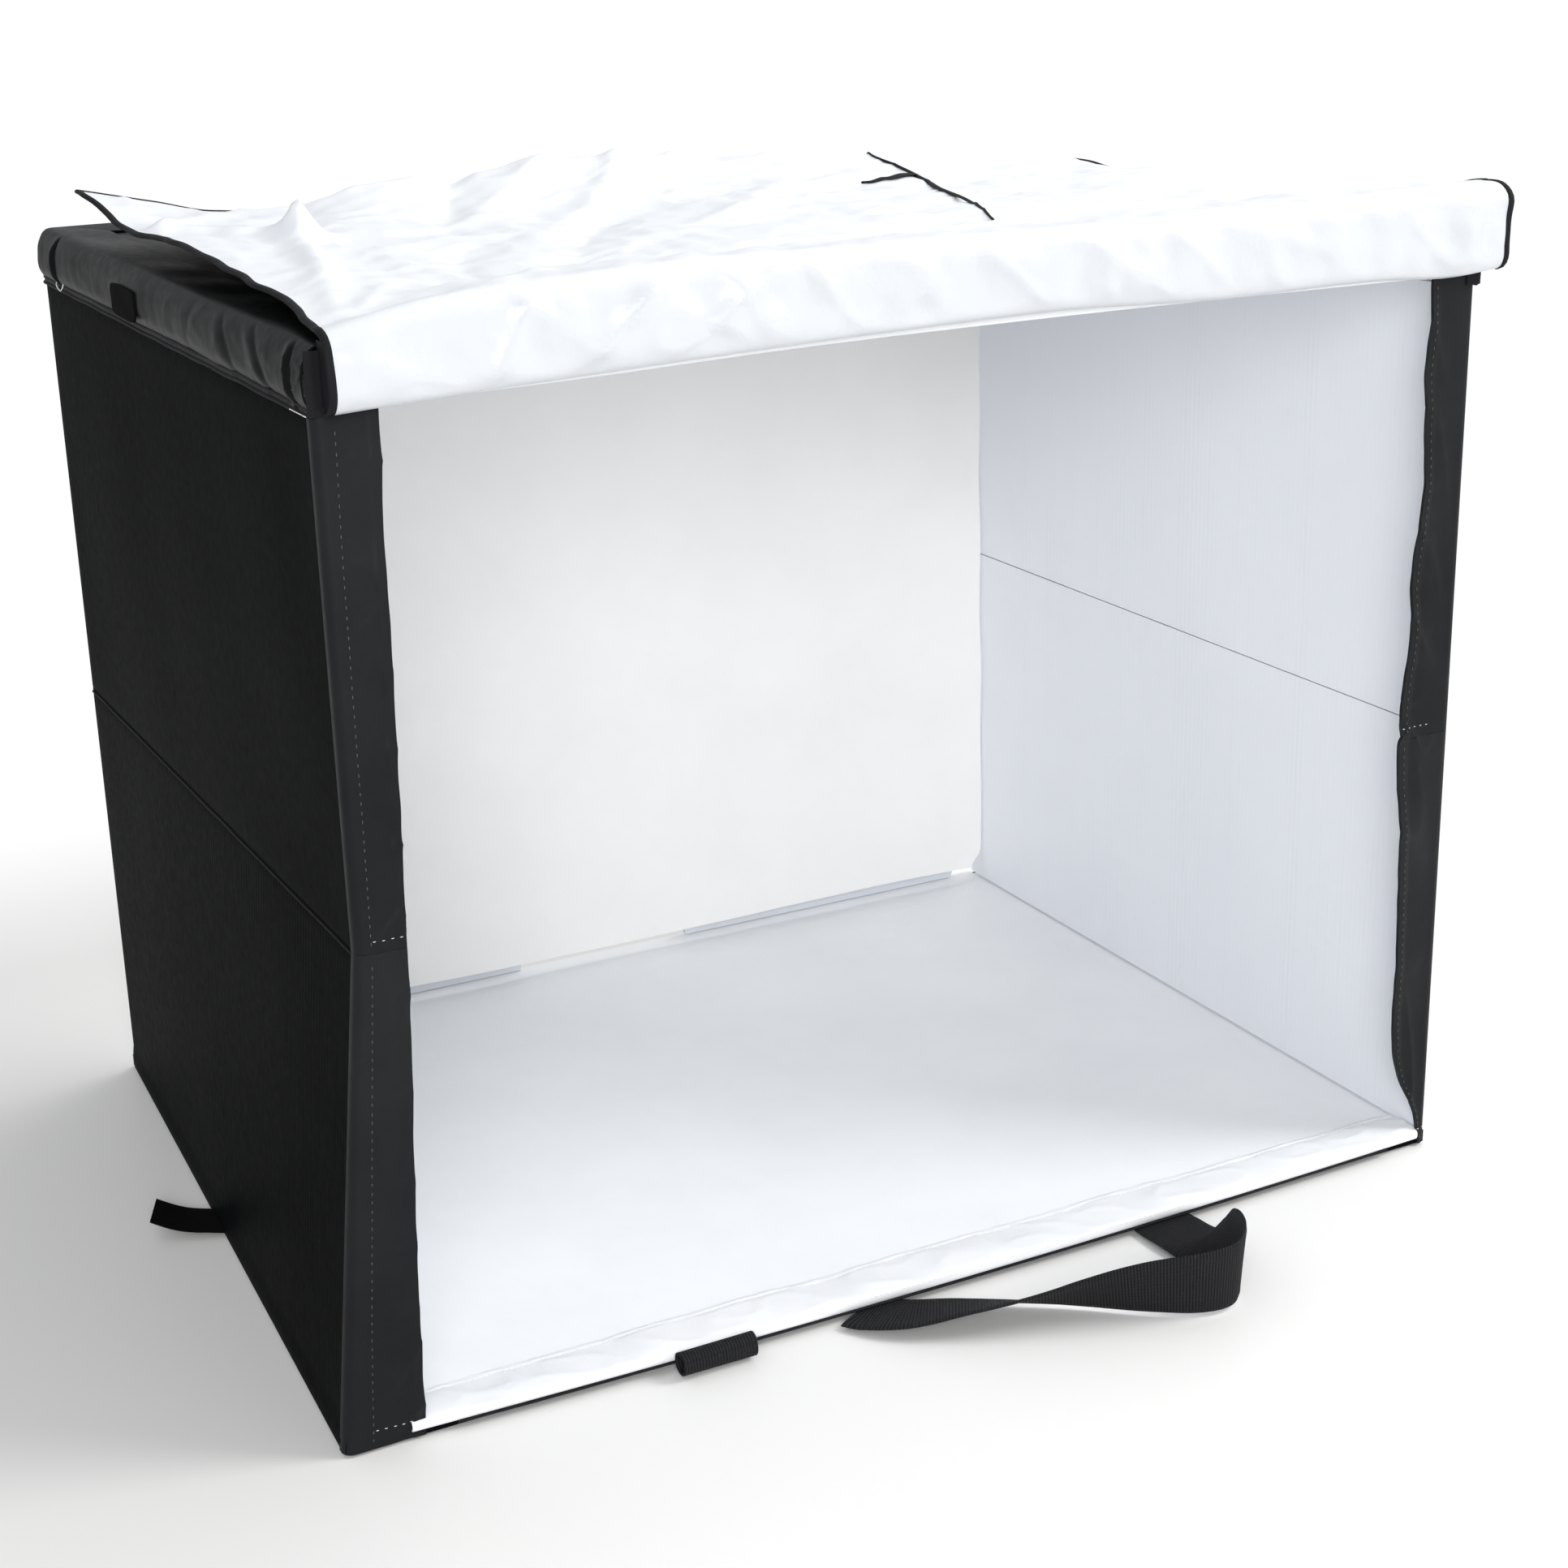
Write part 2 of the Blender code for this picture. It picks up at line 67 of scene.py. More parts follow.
# ---- sizes, from the frame
HALF_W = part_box("floor_cover")[1][0]
HALF_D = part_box("floor_cover")[1][1]
BOARD_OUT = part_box("right_lower_board")[1][0]
WALL_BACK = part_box("right_lower_cover")[1][1]
FOLD_Z = (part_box("left_lower_board")[1][2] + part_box("left_upper_board")[0][2]) / 2
ROOF_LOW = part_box("roof_cover")[0][2]
ROOF_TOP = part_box("roof_cover")[1][2]
PANEL_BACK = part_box("door_panel_lining")[1][1]
CURTAIN_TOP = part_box("rear_curtain")[1][2]
CURTAIN_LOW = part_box("rear_curtain")[0][2]
CURTAIN_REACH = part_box("rear_curtain")[1][0]
CURTAIN_Y = 0.243  # where the curtain hangs
FRONT = -HALF_D
CLOTH = 0.0011


# ---- numbers
def smooth(low, high, value):
    t = np.clip((value - low) / (high - low), 0.0, 1.0)
    return t * t * (3.0 - 2.0 * t)


def waves(x, y, seed, size, count=7):
    """A smooth random field of about -1 to 1, with features of the given size."""
    draw = np.random.default_rng(seed)
    total = 0.0
    for _ in range(count):
        angle = draw.uniform(0.0, math.tau)
        pace = math.tau / (size * draw.uniform(0.7, 1.6))
        ahead = x * math.cos(angle) + y * math.sin(angle)
        total = total + np.sin(pace * ahead + draw.uniform(0.0, math.tau))
    return total / math.sqrt(2.0 * count)


def ripple(x, seed, size):
    """The same field along a single line."""
    return waves(x, x * 0, seed, size)


def ridges(x, y, seed, size):
    """Sharp-topped random folds, 0 to 1."""
    return np.exp(-np.abs(waves(x, y, seed, size)) * 3.2)


def through(x, stations):
    """A smooth line through (x, value) stations."""
    xs = np.array([s[0] for s in stations], float)
    vs = np.array([s[1] for s in stations], float)
    slope = np.gradient(vs, xs)
    x = np.clip(x, xs[0], xs[-1])
    i = np.clip(np.searchsorted(xs, x) - 1, 0, len(xs) - 2)
    h = xs[i + 1] - xs[i]
    t = (x - xs[i]) / h
    a = (2 * t ** 3 - 3 * t ** 2 + 1) * vs[i] + (t ** 3 - 2 * t ** 2 + t) * h * slope[i]
    b = (-2 * t ** 3 + 3 * t ** 2) * vs[i + 1] + (t ** 3 - t ** 2) * h * slope[i + 1]
    return a + b


def catmull(stations, samples):
    """Catmull-Rom through rows of stations of any shape, with this many samples in each span."""
    p = np.asarray(stations, float)
    p = np.concatenate([2 * p[:1] - p[1:2], p, 2 * p[-1:] - p[-2:-1]])
    out = []
    for i in range(1, len(p) - 2):
        for k in range(samples):
            t = k / samples
            a, b, c, d = p[i - 1], p[i], p[i + 1], p[i + 2]
            bend = (2 * a - 5 * b + 4 * c - d) * t * t + (-a + 3 * b - 3 * c + d) * t ** 3
            out.append(0.5 * (2 * b + (c - a) * t + bend))
    out.append(p[-2])
    return np.array(out)


def lengths(path):
    """The distance along a path to each of its points."""
    return np.r_[0.0, np.cumsum(np.linalg.norm(np.diff(path, axis=0), axis=1))]


def at_lengths(path, run, at):
    """A path's rows, read off at the given distances along it."""
    return np.stack([np.interp(at, run, column) for column in path.T], axis=1)


def spaced(path, count):
    """The same path with evenly spaced points; further columns go along."""
    path = np.asarray(path, float)
    run = lengths(path[:, :3])
    return at_lengths(path, run, np.linspace(0.0, run[-1], count))


def field(xs, ys):
    """Every x against every y."""
    return np.meshgrid(xs, ys, indexing="ij")


def crease(x, y, start, end, high, wide):
    """A fold line in a sheet: highest at its start and fading along its length."""
    dx, dy = end[0] - start[0], end[1] - start[1]
    t = np.clip(((x - start[0]) * dx + (y - start[1]) * dy) / (dx * dx + dy * dy), 0.0, 1.0)
    far = np.hypot(x - start[0] - t * dx, y - start[1] - t * dy)
    return high * np.exp(-(far / wide) ** 1.35) * (1.0 - 0.65 * t)


# ---- meshes
def unit(v):
    return v / (np.linalg.norm(v, axis=-1, keepdims=True) + 1e-12)


def build(name, verts, faces, mats, face_mats=None, uvs=None):
    mesh = bpy.data.meshes.new(name)
    mesh.from_pydata([tuple(v) for v in verts], [], [tuple(int(i) for i in f) for f in faces])
    for mat in mats:
        mesh.materials.append(mat)
    if face_mats is not None:
        mesh.polygons.foreach_set("material_index", np.asarray(face_mats, np.int32))
    if uvs is not None:
        corner = np.empty(len(mesh.loops), np.int32)
        mesh.loops.foreach_get("vertex_index", corner)
        layer = mesh.uv_layers.new(name="UVMap")
        layer.data.foreach_set("uv", np.asarray(uvs, np.float32)[corner].ravel())
    mesh.shade_smooth()
    mesh.set_sharp_from_angle(angle=math.radians(50.0))
    mesh.update()
    obj = bpy.data.objects.new(name, mesh)
    bpy.context.scene.collection.objects.link(obj)
    return obj


def grid_normals(grid):
    return unit(np.cross(np.gradient(grid, axis=0), np.gradient(grid, axis=1)))


def sheet(name, grid, thick, mats):
    """A closed thin solid about a grid of points. mats: one, or the top's, the underside's and the rim's."""
    grid = np.asarray(grid, float)
    n, m = grid.shape[:2]
    half = np.broadcast_to(np.asarray(thick, float), (n, m))[..., None] / 2
    normal = grid_normals(grid)
    verts = np.concatenate([(grid + normal * half).reshape(-1, 3), (grid - normal * half).reshape(-1, 3)])
    top = np.arange(n * m).reshape(n, m)
    low = top + n * m
    faces = [np.stack([top[:-1, :-1], top[1:, :-1], top[1:, 1:], top[:-1, 1:]], -1).reshape(-1, 4)]
    faces.append(np.stack([low[:-1, :-1], low[:-1, 1:], low[1:, 1:], low[1:, :-1]], -1).reshape(-1, 4))
    ring = np.concatenate([top[:-1, 0], top[-1, :-1], top[:0:-1, -1], top[0, :0:-1]])
    after = np.roll(ring, -1)
    rim = np.stack([after, ring, ring + n * m, after + n * m], -1)
    faces.append(rim)
    count = (n - 1) * (m - 1)
    face_mats = [0] * count + [min(1, len(mats) - 1)] * count + [min(2, len(mats) - 1)] * len(rim)
    along = np.r_[0.0, np.cumsum(np.linalg.norm(np.diff(grid, axis=0), axis=2).mean(axis=1))]
    across = np.r_[0.0, np.cumsum(np.linalg.norm(np.diff(grid, axis=1), axis=2).mean(axis=0))]
    uv = np.stack(field(along, across), -1).reshape(-1, 2)
    return build(name, verts, np.concatenate(faces), mats, face_mats, np.concatenate([uv, uv]))


def sweep_mesh(path, profile, up):
    """Vertices, faces and UVs of a solid swept along a path. A profile point is (side, up)."""
    path = np.asarray(path, float)
    profile = np.asarray(profile, float)
    n = len(path)
    k = profile.shape[-2]
    tangent = unit(np.gradient(path, axis=0))
    up = np.broadcast_to(np.asarray(up, float), path.shape)
    side = unit(np.cross(tangent, up))
    up = np.cross(side, tangent)
    profile = np.broadcast_to(profile, (n, k, 2))
    rings = path[:, None] + side[:, None] * profile[..., :1] + up[:, None] * profile[..., 1:]
    index = np.arange(n * k).reshape(n, k)
    after = np.roll(index, -1, axis=1)
    quads = np.stack([index[:-1], after[:-1], after[1:], index[1:]], -1).reshape(-1, 4)
    run = lengths(path)
    uv = np.stack([np.repeat(run, k), profile[..., 0].ravel()], -1)
    caps = [list(index[0])[::-1], list(index[-1])]
    return rings.reshape(-1, 3), quads, caps, uv


def sweep(name, path, profile, up, mats):
    verts, quads, caps, uv = sweep_mesh(path, profile, up)
    return build(name, verts, [*quads.tolist(), *caps], mats, uvs=uv)


def oval(wide, high, sides=12, power=1.0):
    """An oval section, squarer as power falls below 1."""
    a = np.linspace(0.0, math.tau, sides, endpoint=False)
    ring = [np.cos(a), np.sin(a)]
    return np.stack([size / 2 * np.sign(c) * np.abs(c) ** power for size, c in zip((wide, high), ring)], -1)


def stitches(name, path, up, mats, seed, pitch=0.0033, dash=0.0022, thick=0.00045):
    """A row of sewn stitches lying on a surface along a path, each dipping into the cloth at its ends."""
    path = np.asarray(path, float)
    run = lengths(path)
    up = np.broadcast_to(np.asarray(up, float), path.shape)
    draw = np.random.default_rng(seed)
    section = oval(thick, thick * 0.8, 6)
    verts, faces, offset = [], [], 0
    start = 0.0
    while start + dash < run[-1]:
        at = start + dash * np.linspace(0.0, 1.0, 5) + draw.normal(0.0, pitch * 0.03)
        points = at_lengths(path, run, at)
        lift = at_lengths(up, run, at)
        arch = np.array([-0.7, 0.35, 0.6, 0.35, -0.7])[:, None] * thick * 0.6
        v, quads, caps, _ = sweep_mesh(points + lift * arch, section, lift)
        verts.append(v)
        faces += (quads + offset).tolist() + [[i + offset for i in cap] for cap in caps]
        offset += len(v)
        start += pitch
    return build(name, np.concatenate(verts), faces, mats)


def place(obj, body, slot, *nodes):
    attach(obj, body)
    if nodes:
        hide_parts(*nodes)
    return obj


# ---- materials
WAVE_SCALE = 0.31416  # a wave texture's scale, times the pitch that its bands then have


class Look:
    """A node material under construction."""

    def __init__(self, name, space="UV"):
        self.mat = bpy.data.materials.new(name)
        self.mat.use_nodes = True
        self.tree = self.mat.node_tree
        self.shader = self.tree.nodes["Principled BSDF"]
        self.where = self.tree.nodes.new("ShaderNodeTexCoord").outputs[space]
        self.normal = None

    def node(self, kind, inputs=(), **settings):
        made = self.tree.nodes.new(kind)
        for key, value in settings.items():
            setattr(made, key, value)
        for key, value in dict(inputs).items():
            if isinstance(value, bpy.types.NodeSocket):
                self.tree.links.new(value, made.inputs[key])
            else:
                made.inputs[key].default_value = value
        return made

    def noise(self, scale, detail=3.0, rough=0.5, stretch=(1.0, 1.0, 1.0)):
        vector = self.node("ShaderNodeMapping", {"Vector": self.where, "Scale": stretch}).outputs[0]
        settings = {"Vector": vector, "Scale": scale, "Detail": detail, "Roughness": rough}
        return self.node("ShaderNodeTexNoise", settings).outputs["Fac"]

    def bands(self, pitch, direction):
        settings = {"Vector": self.where, "Scale": WAVE_SCALE / pitch, "Distortion": 0.0, "Detail": 1.0}
        made = self.node("ShaderNodeTexWave", settings, wave_type="BANDS", bands_direction=direction)
        return made.outputs["Fac"]

    def times(self, a, b):
        return self.node("ShaderNodeMath", {0: a, 1: b}, operation="MULTIPLY").outputs[0]

    def fit(self, value, low, high, from_low=0.0, from_high=1.0):
        inputs = {"Value": value, "From Min": from_low, "From Max": from_high, "To Min": low, "To Max": high}
        return self.node("ShaderNodeMapRange", inputs, clamp=True).outputs[0]

    def blend(self, share, a, b):
        made = self.node("ShaderNodeMix", {"Factor": share}, data_type="RGBA")
        for key, value in ((6, a), (7, b)):
            if isinstance(value, bpy.types.NodeSocket):
                self.tree.links.new(value, made.inputs[key])
            else:
                made.inputs[key].default_value = (*value, 1.0)
        return made.outputs[2]

    def mottle(self, field, dark, light, low=0.3, high=0.7):
        return self.blend(self.fit(field, 0.0, 1.0, low, high), dark, light)

    def weave(self, pitch):
        return self.times(self.bands(pitch, "X"), self.bands(pitch, "Y"))

    def bump(self, height, depth):
        inputs = {"Height": height, "Distance": depth, "Strength": 1.0}
        if self.normal is not None:
            inputs["Normal"] = self.normal
        self.normal = self.node("ShaderNodeBump", inputs).outputs[0]

    def done(self, colour, rough, **constants):
        self.tree.links.new(colour, self.shader.inputs["Base Color"])
        self.tree.links.new(rough, self.shader.inputs["Roughness"])
        if self.normal is not None:
            self.tree.links.new(self.normal, self.shader.inputs["Normal"])
        for key, value in constants.items():
            self.shader.inputs[key.replace("_", " ")].default_value = value
        self.mat.diffuse_color = (0.5, 0.5, 0.5, 1.0)
        return self.mat


def nylon(name, dark, light, rough, weave=0.0, crumple=0.0, space="UV", level=0.2, flutes=None, ior=1.3):
    """Black proofed cloth with a little pale lint. flutes: the pitch of the board's ribs, felt through it."""
    look = Look(name, space)
    patch = look.noise(7.0, 4.0, 0.6)
    fine = look.noise(160.0, 3.0, 0.6)
    tone = look.mottle(patch, dark, light)
    specks = look.fit(look.noise(900.0, 2.0, 0.7), 0.0, 0.35, 0.7, 0.86)
    tone = look.blend(specks, tone, (0.1, 0.1, 0.1))
    if weave:
        look.bump(look.weave(weave), 0.000012)
    look.bump(fine, 0.00004)
    if crumple:
        look.bump(look.noise(38.0, 4.0, 0.62), crumple)
    if flutes:
        look.bump(look.times(look.bands(flutes, "Y"), look.noise(16.0, 2.0, 0.5)), 0.0001)
    return look.done(tone, look.fit(fine, rough - 0.08, rough + 0.08), Specular_IOR_Level=level, IOR=ior)


def lining(name, dark, light, rough, weave=0.0007, crumple=0.0, coat=0.0, level=0.5, painted_shade=None):
    """White proofed cloth. painted_shade: painted shade, how far along from its start the cloth is painted
    greyer to tone down the brightly lit front of the flap's roll, and how grey.
    """
    look = Look(name, "UV")
    patch = look.noise(9.0, 4.0, 0.6)
    fine = look.noise(120.0, 3.0, 0.55)
    tone = look.mottle(patch, dark, light)
    # painted shade: over its first stretch along the cloth (the flap's roll, which faces the lamps) the
    # colour is painted greyer to tone down how brightly it is lit
    if painted_shade:
        along = look.node("ShaderNodeSeparateXYZ", {"Vector": look.where}).outputs["X"]
        unshaded = look.fit(along, 0.0, 1.0, painted_shade[0], painted_shade[0] + 0.03)
        tone = look.blend(unshaded, tuple(painted_shade[1] * c for c in dark), tone)
    look.bump(look.weave(weave), 0.00002)
    look.bump(fine, 0.00004)
    if crumple:
        look.bump(look.noise(26.0, 5.0, 0.65), crumple)
    grain = look.fit(fine, rough - 0.05, rough + 0.06)
    return look.done(tone, grain, Specular_IOR_Level=level, Coat_Weight=coat, Coat_Roughness=0.3)


FLUTE_PITCH = 0.0044


def fluted(name, direction, dark, light, pitch=FLUTE_PITCH, depth=0.0001, rough=0.42):
    """Twin-wall plastic sheet: faint uneven lines where its inner webs run."""
    look = Look(name, "Object")
    stretch = {"Y": (0.0, 1.0, 0.0), "X": (1.0, 0.0, 0.0), "Z": (0.0, 0.0, 1.0)}[direction]
    uneven = look.noise(26.0, 4.0, 0.7, stretch)
    shown = look.times(look.bands(pitch, direction), look.fit(uneven, 0.0, 1.0, 0.42, 0.68))
    patch = look.noise(3.0, 3.0, 0.5)
    tone = look.mottle(patch, dark, light)
    tone = look.blend(look.times(shown, 0.16), tone, tuple(0.86 * c for c in dark))
    look.bump(shown, depth)
    look.bump(look.noise(220.0, 2.0, 0.5), 0.00003)
    return look.done(tone, look.fit(patch, rough - 0.05, rough + 0.05), Specular_IOR_Level=0.45)


def webbing_look(name):
    """Ribbed black tape: ribs across its length, a heavier edge, and a dusting of pale fluff."""
    look = Look(name, "UV")
    ribs = look.bands(0.0017, "X")
    cords = look.bands(0.0026, "Y")
    fluff = look.noise(420.0, 3.0, 0.7)
    tone = look.blend(look.fit(ribs, 0.0, 1.0), (0.006, 0.006, 0.007), (0.022, 0.022, 0.024))
    tone = look.blend(look.fit(fluff, 0.0, 0.5, 0.6, 0.85), tone, (0.075, 0.075, 0.078))
    look.bump(ribs, 0.00035)
    look.bump(cords, 0.00008)
    look.bump(fluff, 0.0001)
    return look.done(tone, look.fit(fluff, 0.62, 0.85), Specular_IOR_Level=0.12)


def fuzzy_look(name):
    """The looped face of a touch fastener: matt, with a deep fine nap."""
    look = Look(name, "UV")
    nap = look.noise(800.0, 4.0, 0.75)
    tufts = look.noise(230.0, 3.0, 0.6)
    tone = look.mottle(nap, (0.0025, 0.0025, 0.0025), (0.008, 0.008, 0.008), high=0.75)
    look.bump(nap, 0.0005)
    look.bump(tufts, 0.0004)
    return look.done(tone, look.fit(nap, 0.85, 1.0), Specular_IOR_Level=0.04)


def thread_look(name, dark, light):
    look = Look(name, "Object")
    twist = look.noise(1500.0, 2.0, 0.6)
    tone = look.mottle(twist, dark, light, 0.35, 0.65)
    look.bump(twist, 0.0001)
    return look.done(tone, look.fit(twist, 0.5, 0.7))


BLACK = (0.0028, 0.003, 0.0034)
SOOT = (0.0052, 0.0056, 0.0062)
TAUT = {"rough": 0.5, "space": "Object", "crumple": 0.0002, "level": 0.3, "ior": 1.06}
NYLON_WALL = nylon("nylon_wall", BLACK, SOOT, **TAUT)
NYLON_FLUTED = nylon("nylon_over_flutes", BLACK, SOOT, flutes=FLUTE_PITCH, **TAUT)
NYLON_SOFT = nylon("nylon_soft", (0.009, 0.0093, 0.0102), (0.017, 0.0176, 0.019), 0.46, crumple=0.0007)
NYLON_ROOF = nylon("nylon_roof", BLACK, SOOT, 0.42, crumple=0.0004)
NYLON_TAPE = nylon("nylon_tape", (0.008, 0.008, 0.009), (0.018, 0.018, 0.02), 0.6, weave=0.0012,
                   crumple=0.0006, level=0.15)
# the flap's roll is painted greyer along its first stretch: painted shade that tones down its brightly lit
# front
FLAP_WHITE = lining("flap_lining", (0.84, 0.86, 0.9), (0.88, 0.895, 0.92), 0.3, crumple=0.0011, coat=0.15,
                    painted_shade=(0.045, 0.72))
PAD_WHITE = lining("padded_lining", (0.8, 0.81, 0.83), (0.86, 0.865, 0.88), 0.3, crumple=0.0009, coat=0.2)
FLOOR_WHITE = lining("floor_lining", (0.84, 0.855, 0.875), (0.89, 0.9, 0.915), 0.38, crumple=0.0004,
                     coat=0.05)
CURTAIN_WHITE = lining("curtain_cloth", (0.9, 0.895, 0.88), (0.94, 0.935, 0.92), 0.75, crumple=0.0003,
                       level=0.25)
BOARD_WALL = fluted("board_wall", "Y", (0.8, 0.82, 0.87), (0.85, 0.87, 0.915))
BOARD_SILL = fluted("board_sill", "Z", (0.66, 0.69, 0.74), (0.72, 0.75, 0.8), pitch=0.0052, depth=0.0003)
BOARD_EDGE = fluted("board_edge", "X", (0.76, 0.79, 0.84), (0.82, 0.85, 0.89), depth=0.00005)
WEBBING = webbing_look("ribbed_webbing")
FUZZY = fuzzy_look("touch_fastener")
THREAD_WHITE = thread_look("thread_white", (0.72, 0.72, 0.7), (0.88, 0.88, 0.86))
THREAD_GREY = thread_look("thread_grey", (0.045, 0.045, 0.045), (0.085, 0.085, 0.085))


# ---- camera and light
def aim_camera():
    """Stands off the front left, looking in and down, tilted a little."""
    eye = Vector((-0.663, -1.3521, 0.727))
    yaw, pitch, roll = (math.radians(a) for a in (27.146, 18.935, -1.475))
    ahead = Vector((math.sin(yaw) * math.cos(pitch), math.cos(yaw) * math.cos(pitch), -math.sin(pitch)))
    right = Vector((math.cos(yaw), -math.sin(yaw), 0.0))
    up = right.cross(ahead)
    c, s = math.cos(roll), math.sin(roll)
    rolled_right = c * right + s * up
    rolled_up = -s * right + c * up
    data = bpy.data.cameras.new("camera")
    data.lens = 60.5
    data.sensor_width = 36.0
    data.clip_start = 0.05
    data.clip_end = 60.0
    camera = bpy.data.objects.new("camera", data)
    bpy.context.scene.collection.objects.link(camera)
    turn = Matrix((rolled_right, rolled_up, -ahead)).transposed()
    camera.matrix_world = Matrix.Translation(eye) @ turn.to_4x4()
    bpy.context.scene.camera = camera


def area_light(name, at, target, size, power):
    data = bpy.data.lights.new(name, "AREA")
    data.shape = "DISK"
    data.size = size
    data.energy = power
    light = bpy.data.objects.new(name, data)
    light.location = at
    light.rotation_mode = "QUATERNION"
    light.rotation_quaternion = (Vector(target) - Vector(at)).to_track_quat("-Z", "Y")
    bpy.context.scene.collection.objects.link(light)


def glow(look):
    return look.node("ShaderNodeEmission", {"Color": (1.0, 1.0, 1.0, 1.0), "Strength": 1.03}).outputs[0]


def show(look, surface):
    """Makes this shader the material's surface."""
    end = next(n for n in look.tree.nodes if n.type == "OUTPUT_MATERIAL")
    look.tree.links.new(surface, end.inputs["Surface"])
    return look.mat


def set_stage():
    """A pale table that fades into a white backdrop."""
    look = Look("table_top", "Object")
    patch = look.noise(1.3, 3.0, 0.5)
    tone = look.blend(patch, (0.85, 0.84, 0.825), (0.88, 0.87, 0.855))
    look.bump(look.noise(300.0, 2.0, 0.5), 0.00002)
    look.done(tone, look.fit(patch, 0.42, 0.5), Specular_IOR_Level=0.3)
    split = look.node("ShaderNodeSeparateXYZ", {"Vector": look.where})
    behind = look.fit(split.outputs["Y"], 0.0, 1.0, 0.46, 0.78)
    beside = look.fit(split.outputs["X"], 0.0, 1.0, -0.8, -0.45)
    inputs = {0: look.times(behind, beside), 1: look.shader.outputs[0], 2: glow(look)}
    mix = look.node("ShaderNodeMixShader", inputs)
    reach = 7.0
    corners = [(x * reach, y * reach, -0.0012) for x, y in ((-1, -1), (1, -1), (1, 1), (-1, 1))]
    table = build("table", corners, [(0, 1, 2, 3)], [show(look, mix.outputs[0])])
    back = Look("backdrop", "Object")
    far, high = 3.2, 0.95
    corners = [(-0.8, far, 0.0), (reach, far, 0.0), (reach, far, high), (-0.8, far, high)]
    wall = build("backdrop", corners, [(3, 2, 1, 0)], [show(back, glow(back))])


def light_scene():
    scene = bpy.context.scene
    scene.view_settings.view_transform = "Standard"
    scene.view_settings.look = "None"
    world = bpy.data.worlds.new("studio")
    world.use_nodes = True
    sky = world.node_tree.nodes["Background"].inputs
    sky["Color"].default_value = (0.955, 0.975, 1.0, 1.0)
    sky["Strength"].default_value = 0.56
    scene.world = world
    middle = (0.0, 0.0, 0.25)
    area_light("key", (2.0, -1.3, 1.9), middle, 1.3, 48.0)
    area_light("fill", (-1.2, -2.8, 1.3), middle, 1.2, 44.0)
    area_light("side_fill", (-1.6, -2.4, 1.6), middle, 1.2, 8.0)
    area_light("top", (0.9, 0.5, 2.2), (0.2, 0.0, 0.5), 1.4, 16.0)


aim_camera()
set_stage()
light_scene()


# ---- boards kept from the frame
def dress(node, mat, bevel=0.0006):
    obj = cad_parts[node]
    obj.data.materials.clear()
    obj.data.materials.append(mat)
    mod = obj.modifiers.new("soft_edges", "BEVEL")
    mod.width = bevel
    mod.segments = 2
    mod.limit_method = "ANGLE"
    obj.data.shade_smooth()
    obj.modifiers.new("shading", "WEIGHTED_NORMAL")


for side in ("left", "right"):
    for half in ("lower", "upper"):
        dress(f"{side}_{half}_board", BOARD_WALL, 0.0008)
    dress(f"sill_tab_{side}", BOARD_SILL, 0.0009)
    dress(f"roof_{side}_rail", BOARD_WALL)
    dress(f"handle_anchor_{side}", WEBBING, 0.0004)
for node in ("floor_board", "roof_board", "roof_rear_rail"):
    dress(node, BOARD_EDGE)
dress("floor_cover", NYLON_FLUTED, 0.0009)
dress("curtain_heading", CURTAIN_WHITE, 0.0004)


# ---- walls
def flare(y, z):
    """How far the left wall's cloth stands out from its board, growing toward its lower front corner."""
    ahead = np.clip((HALF_D - y) / (2 * HALF_D), 0.0, 1.0)
    return 0.027 * ahead * np.clip(1.0 - z / FOLD_Z, 0.0, 1.0)


def wall_skin(side_name, sign, half_name):
    """The nylon over a wall board: drawn tight, rounded in at the folds, with a very slight puff."""
    half_wall = f"{side_name}_{half_name}"
    low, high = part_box(f"{half_wall}_cover")
    foot = 0.0016 if (side_name, half_name) == ("left", "lower") else low[2]
    y, z = field(np.linspace(low[1], high[1], 90), np.linspace(foot, high[2], 60))
    edge = np.minimum.reduce([y - low[1], high[1] - y, z - foot, high[2] - z])
    top_edge = np.minimum.reduce([y - low[1] + 0.002, high[1] - y, z - foot + 0.002, high[2] - z])
    skirt = 0.0011 * (1.0 - smooth(0.0085, 0.013, z)) * (side_name == "left")
    turned = 0.0012 * (1.0 - smooth(0.0, 0.0045, y - low[1]))
    round_in = 0.0009 * (1.0 - smooth(0.0, 0.0035, top_edge)) + turned - skirt
    puff = 0.00035 * waves(y, z, 17 + len(half_wall), 0.16) * smooth(0.0, 0.03, edge)
    mid = (BOARD_OUT + 0.0003 + HALF_W) / 2 + 0.0003 + puff - round_in
    if side_name == "left":
        mid = mid + flare(y, z)
    grid = np.stack([sign * mid, y, z], -1)
    mat = NYLON_FLUTED if half_name == "lower" else NYLON_WALL
    skin = sheet(f"{half_wall}_skin", grid, 0.0009, [mat])
    place(skin, half_wall, "black_nylon", f"{half_wall}_cover")
    if half_name == "lower":
        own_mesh(skin)


# height, and how far from the middle each hem's free edge hangs there
INNER_EDGE = {
    "left": [(0.0, 0.3105), (0.076, 0.3095), (0.15, 0.306), (0.254, 0.301), (0.404, 0.299), (0.515, 0.2955)],
    "right": [(0.0, 0.319), (0.02, 0.315), (0.046, 0.302), (0.15, 0.2925), (0.264, 0.2885),
              (0.4, 0.293), (0.515, 0.2945)],
}
# how far the upper hems reach up under the roof, past the wall
HEM_TUCK = {("left", "upper"): 0.0032, ("right", "upper"): 0.0085}


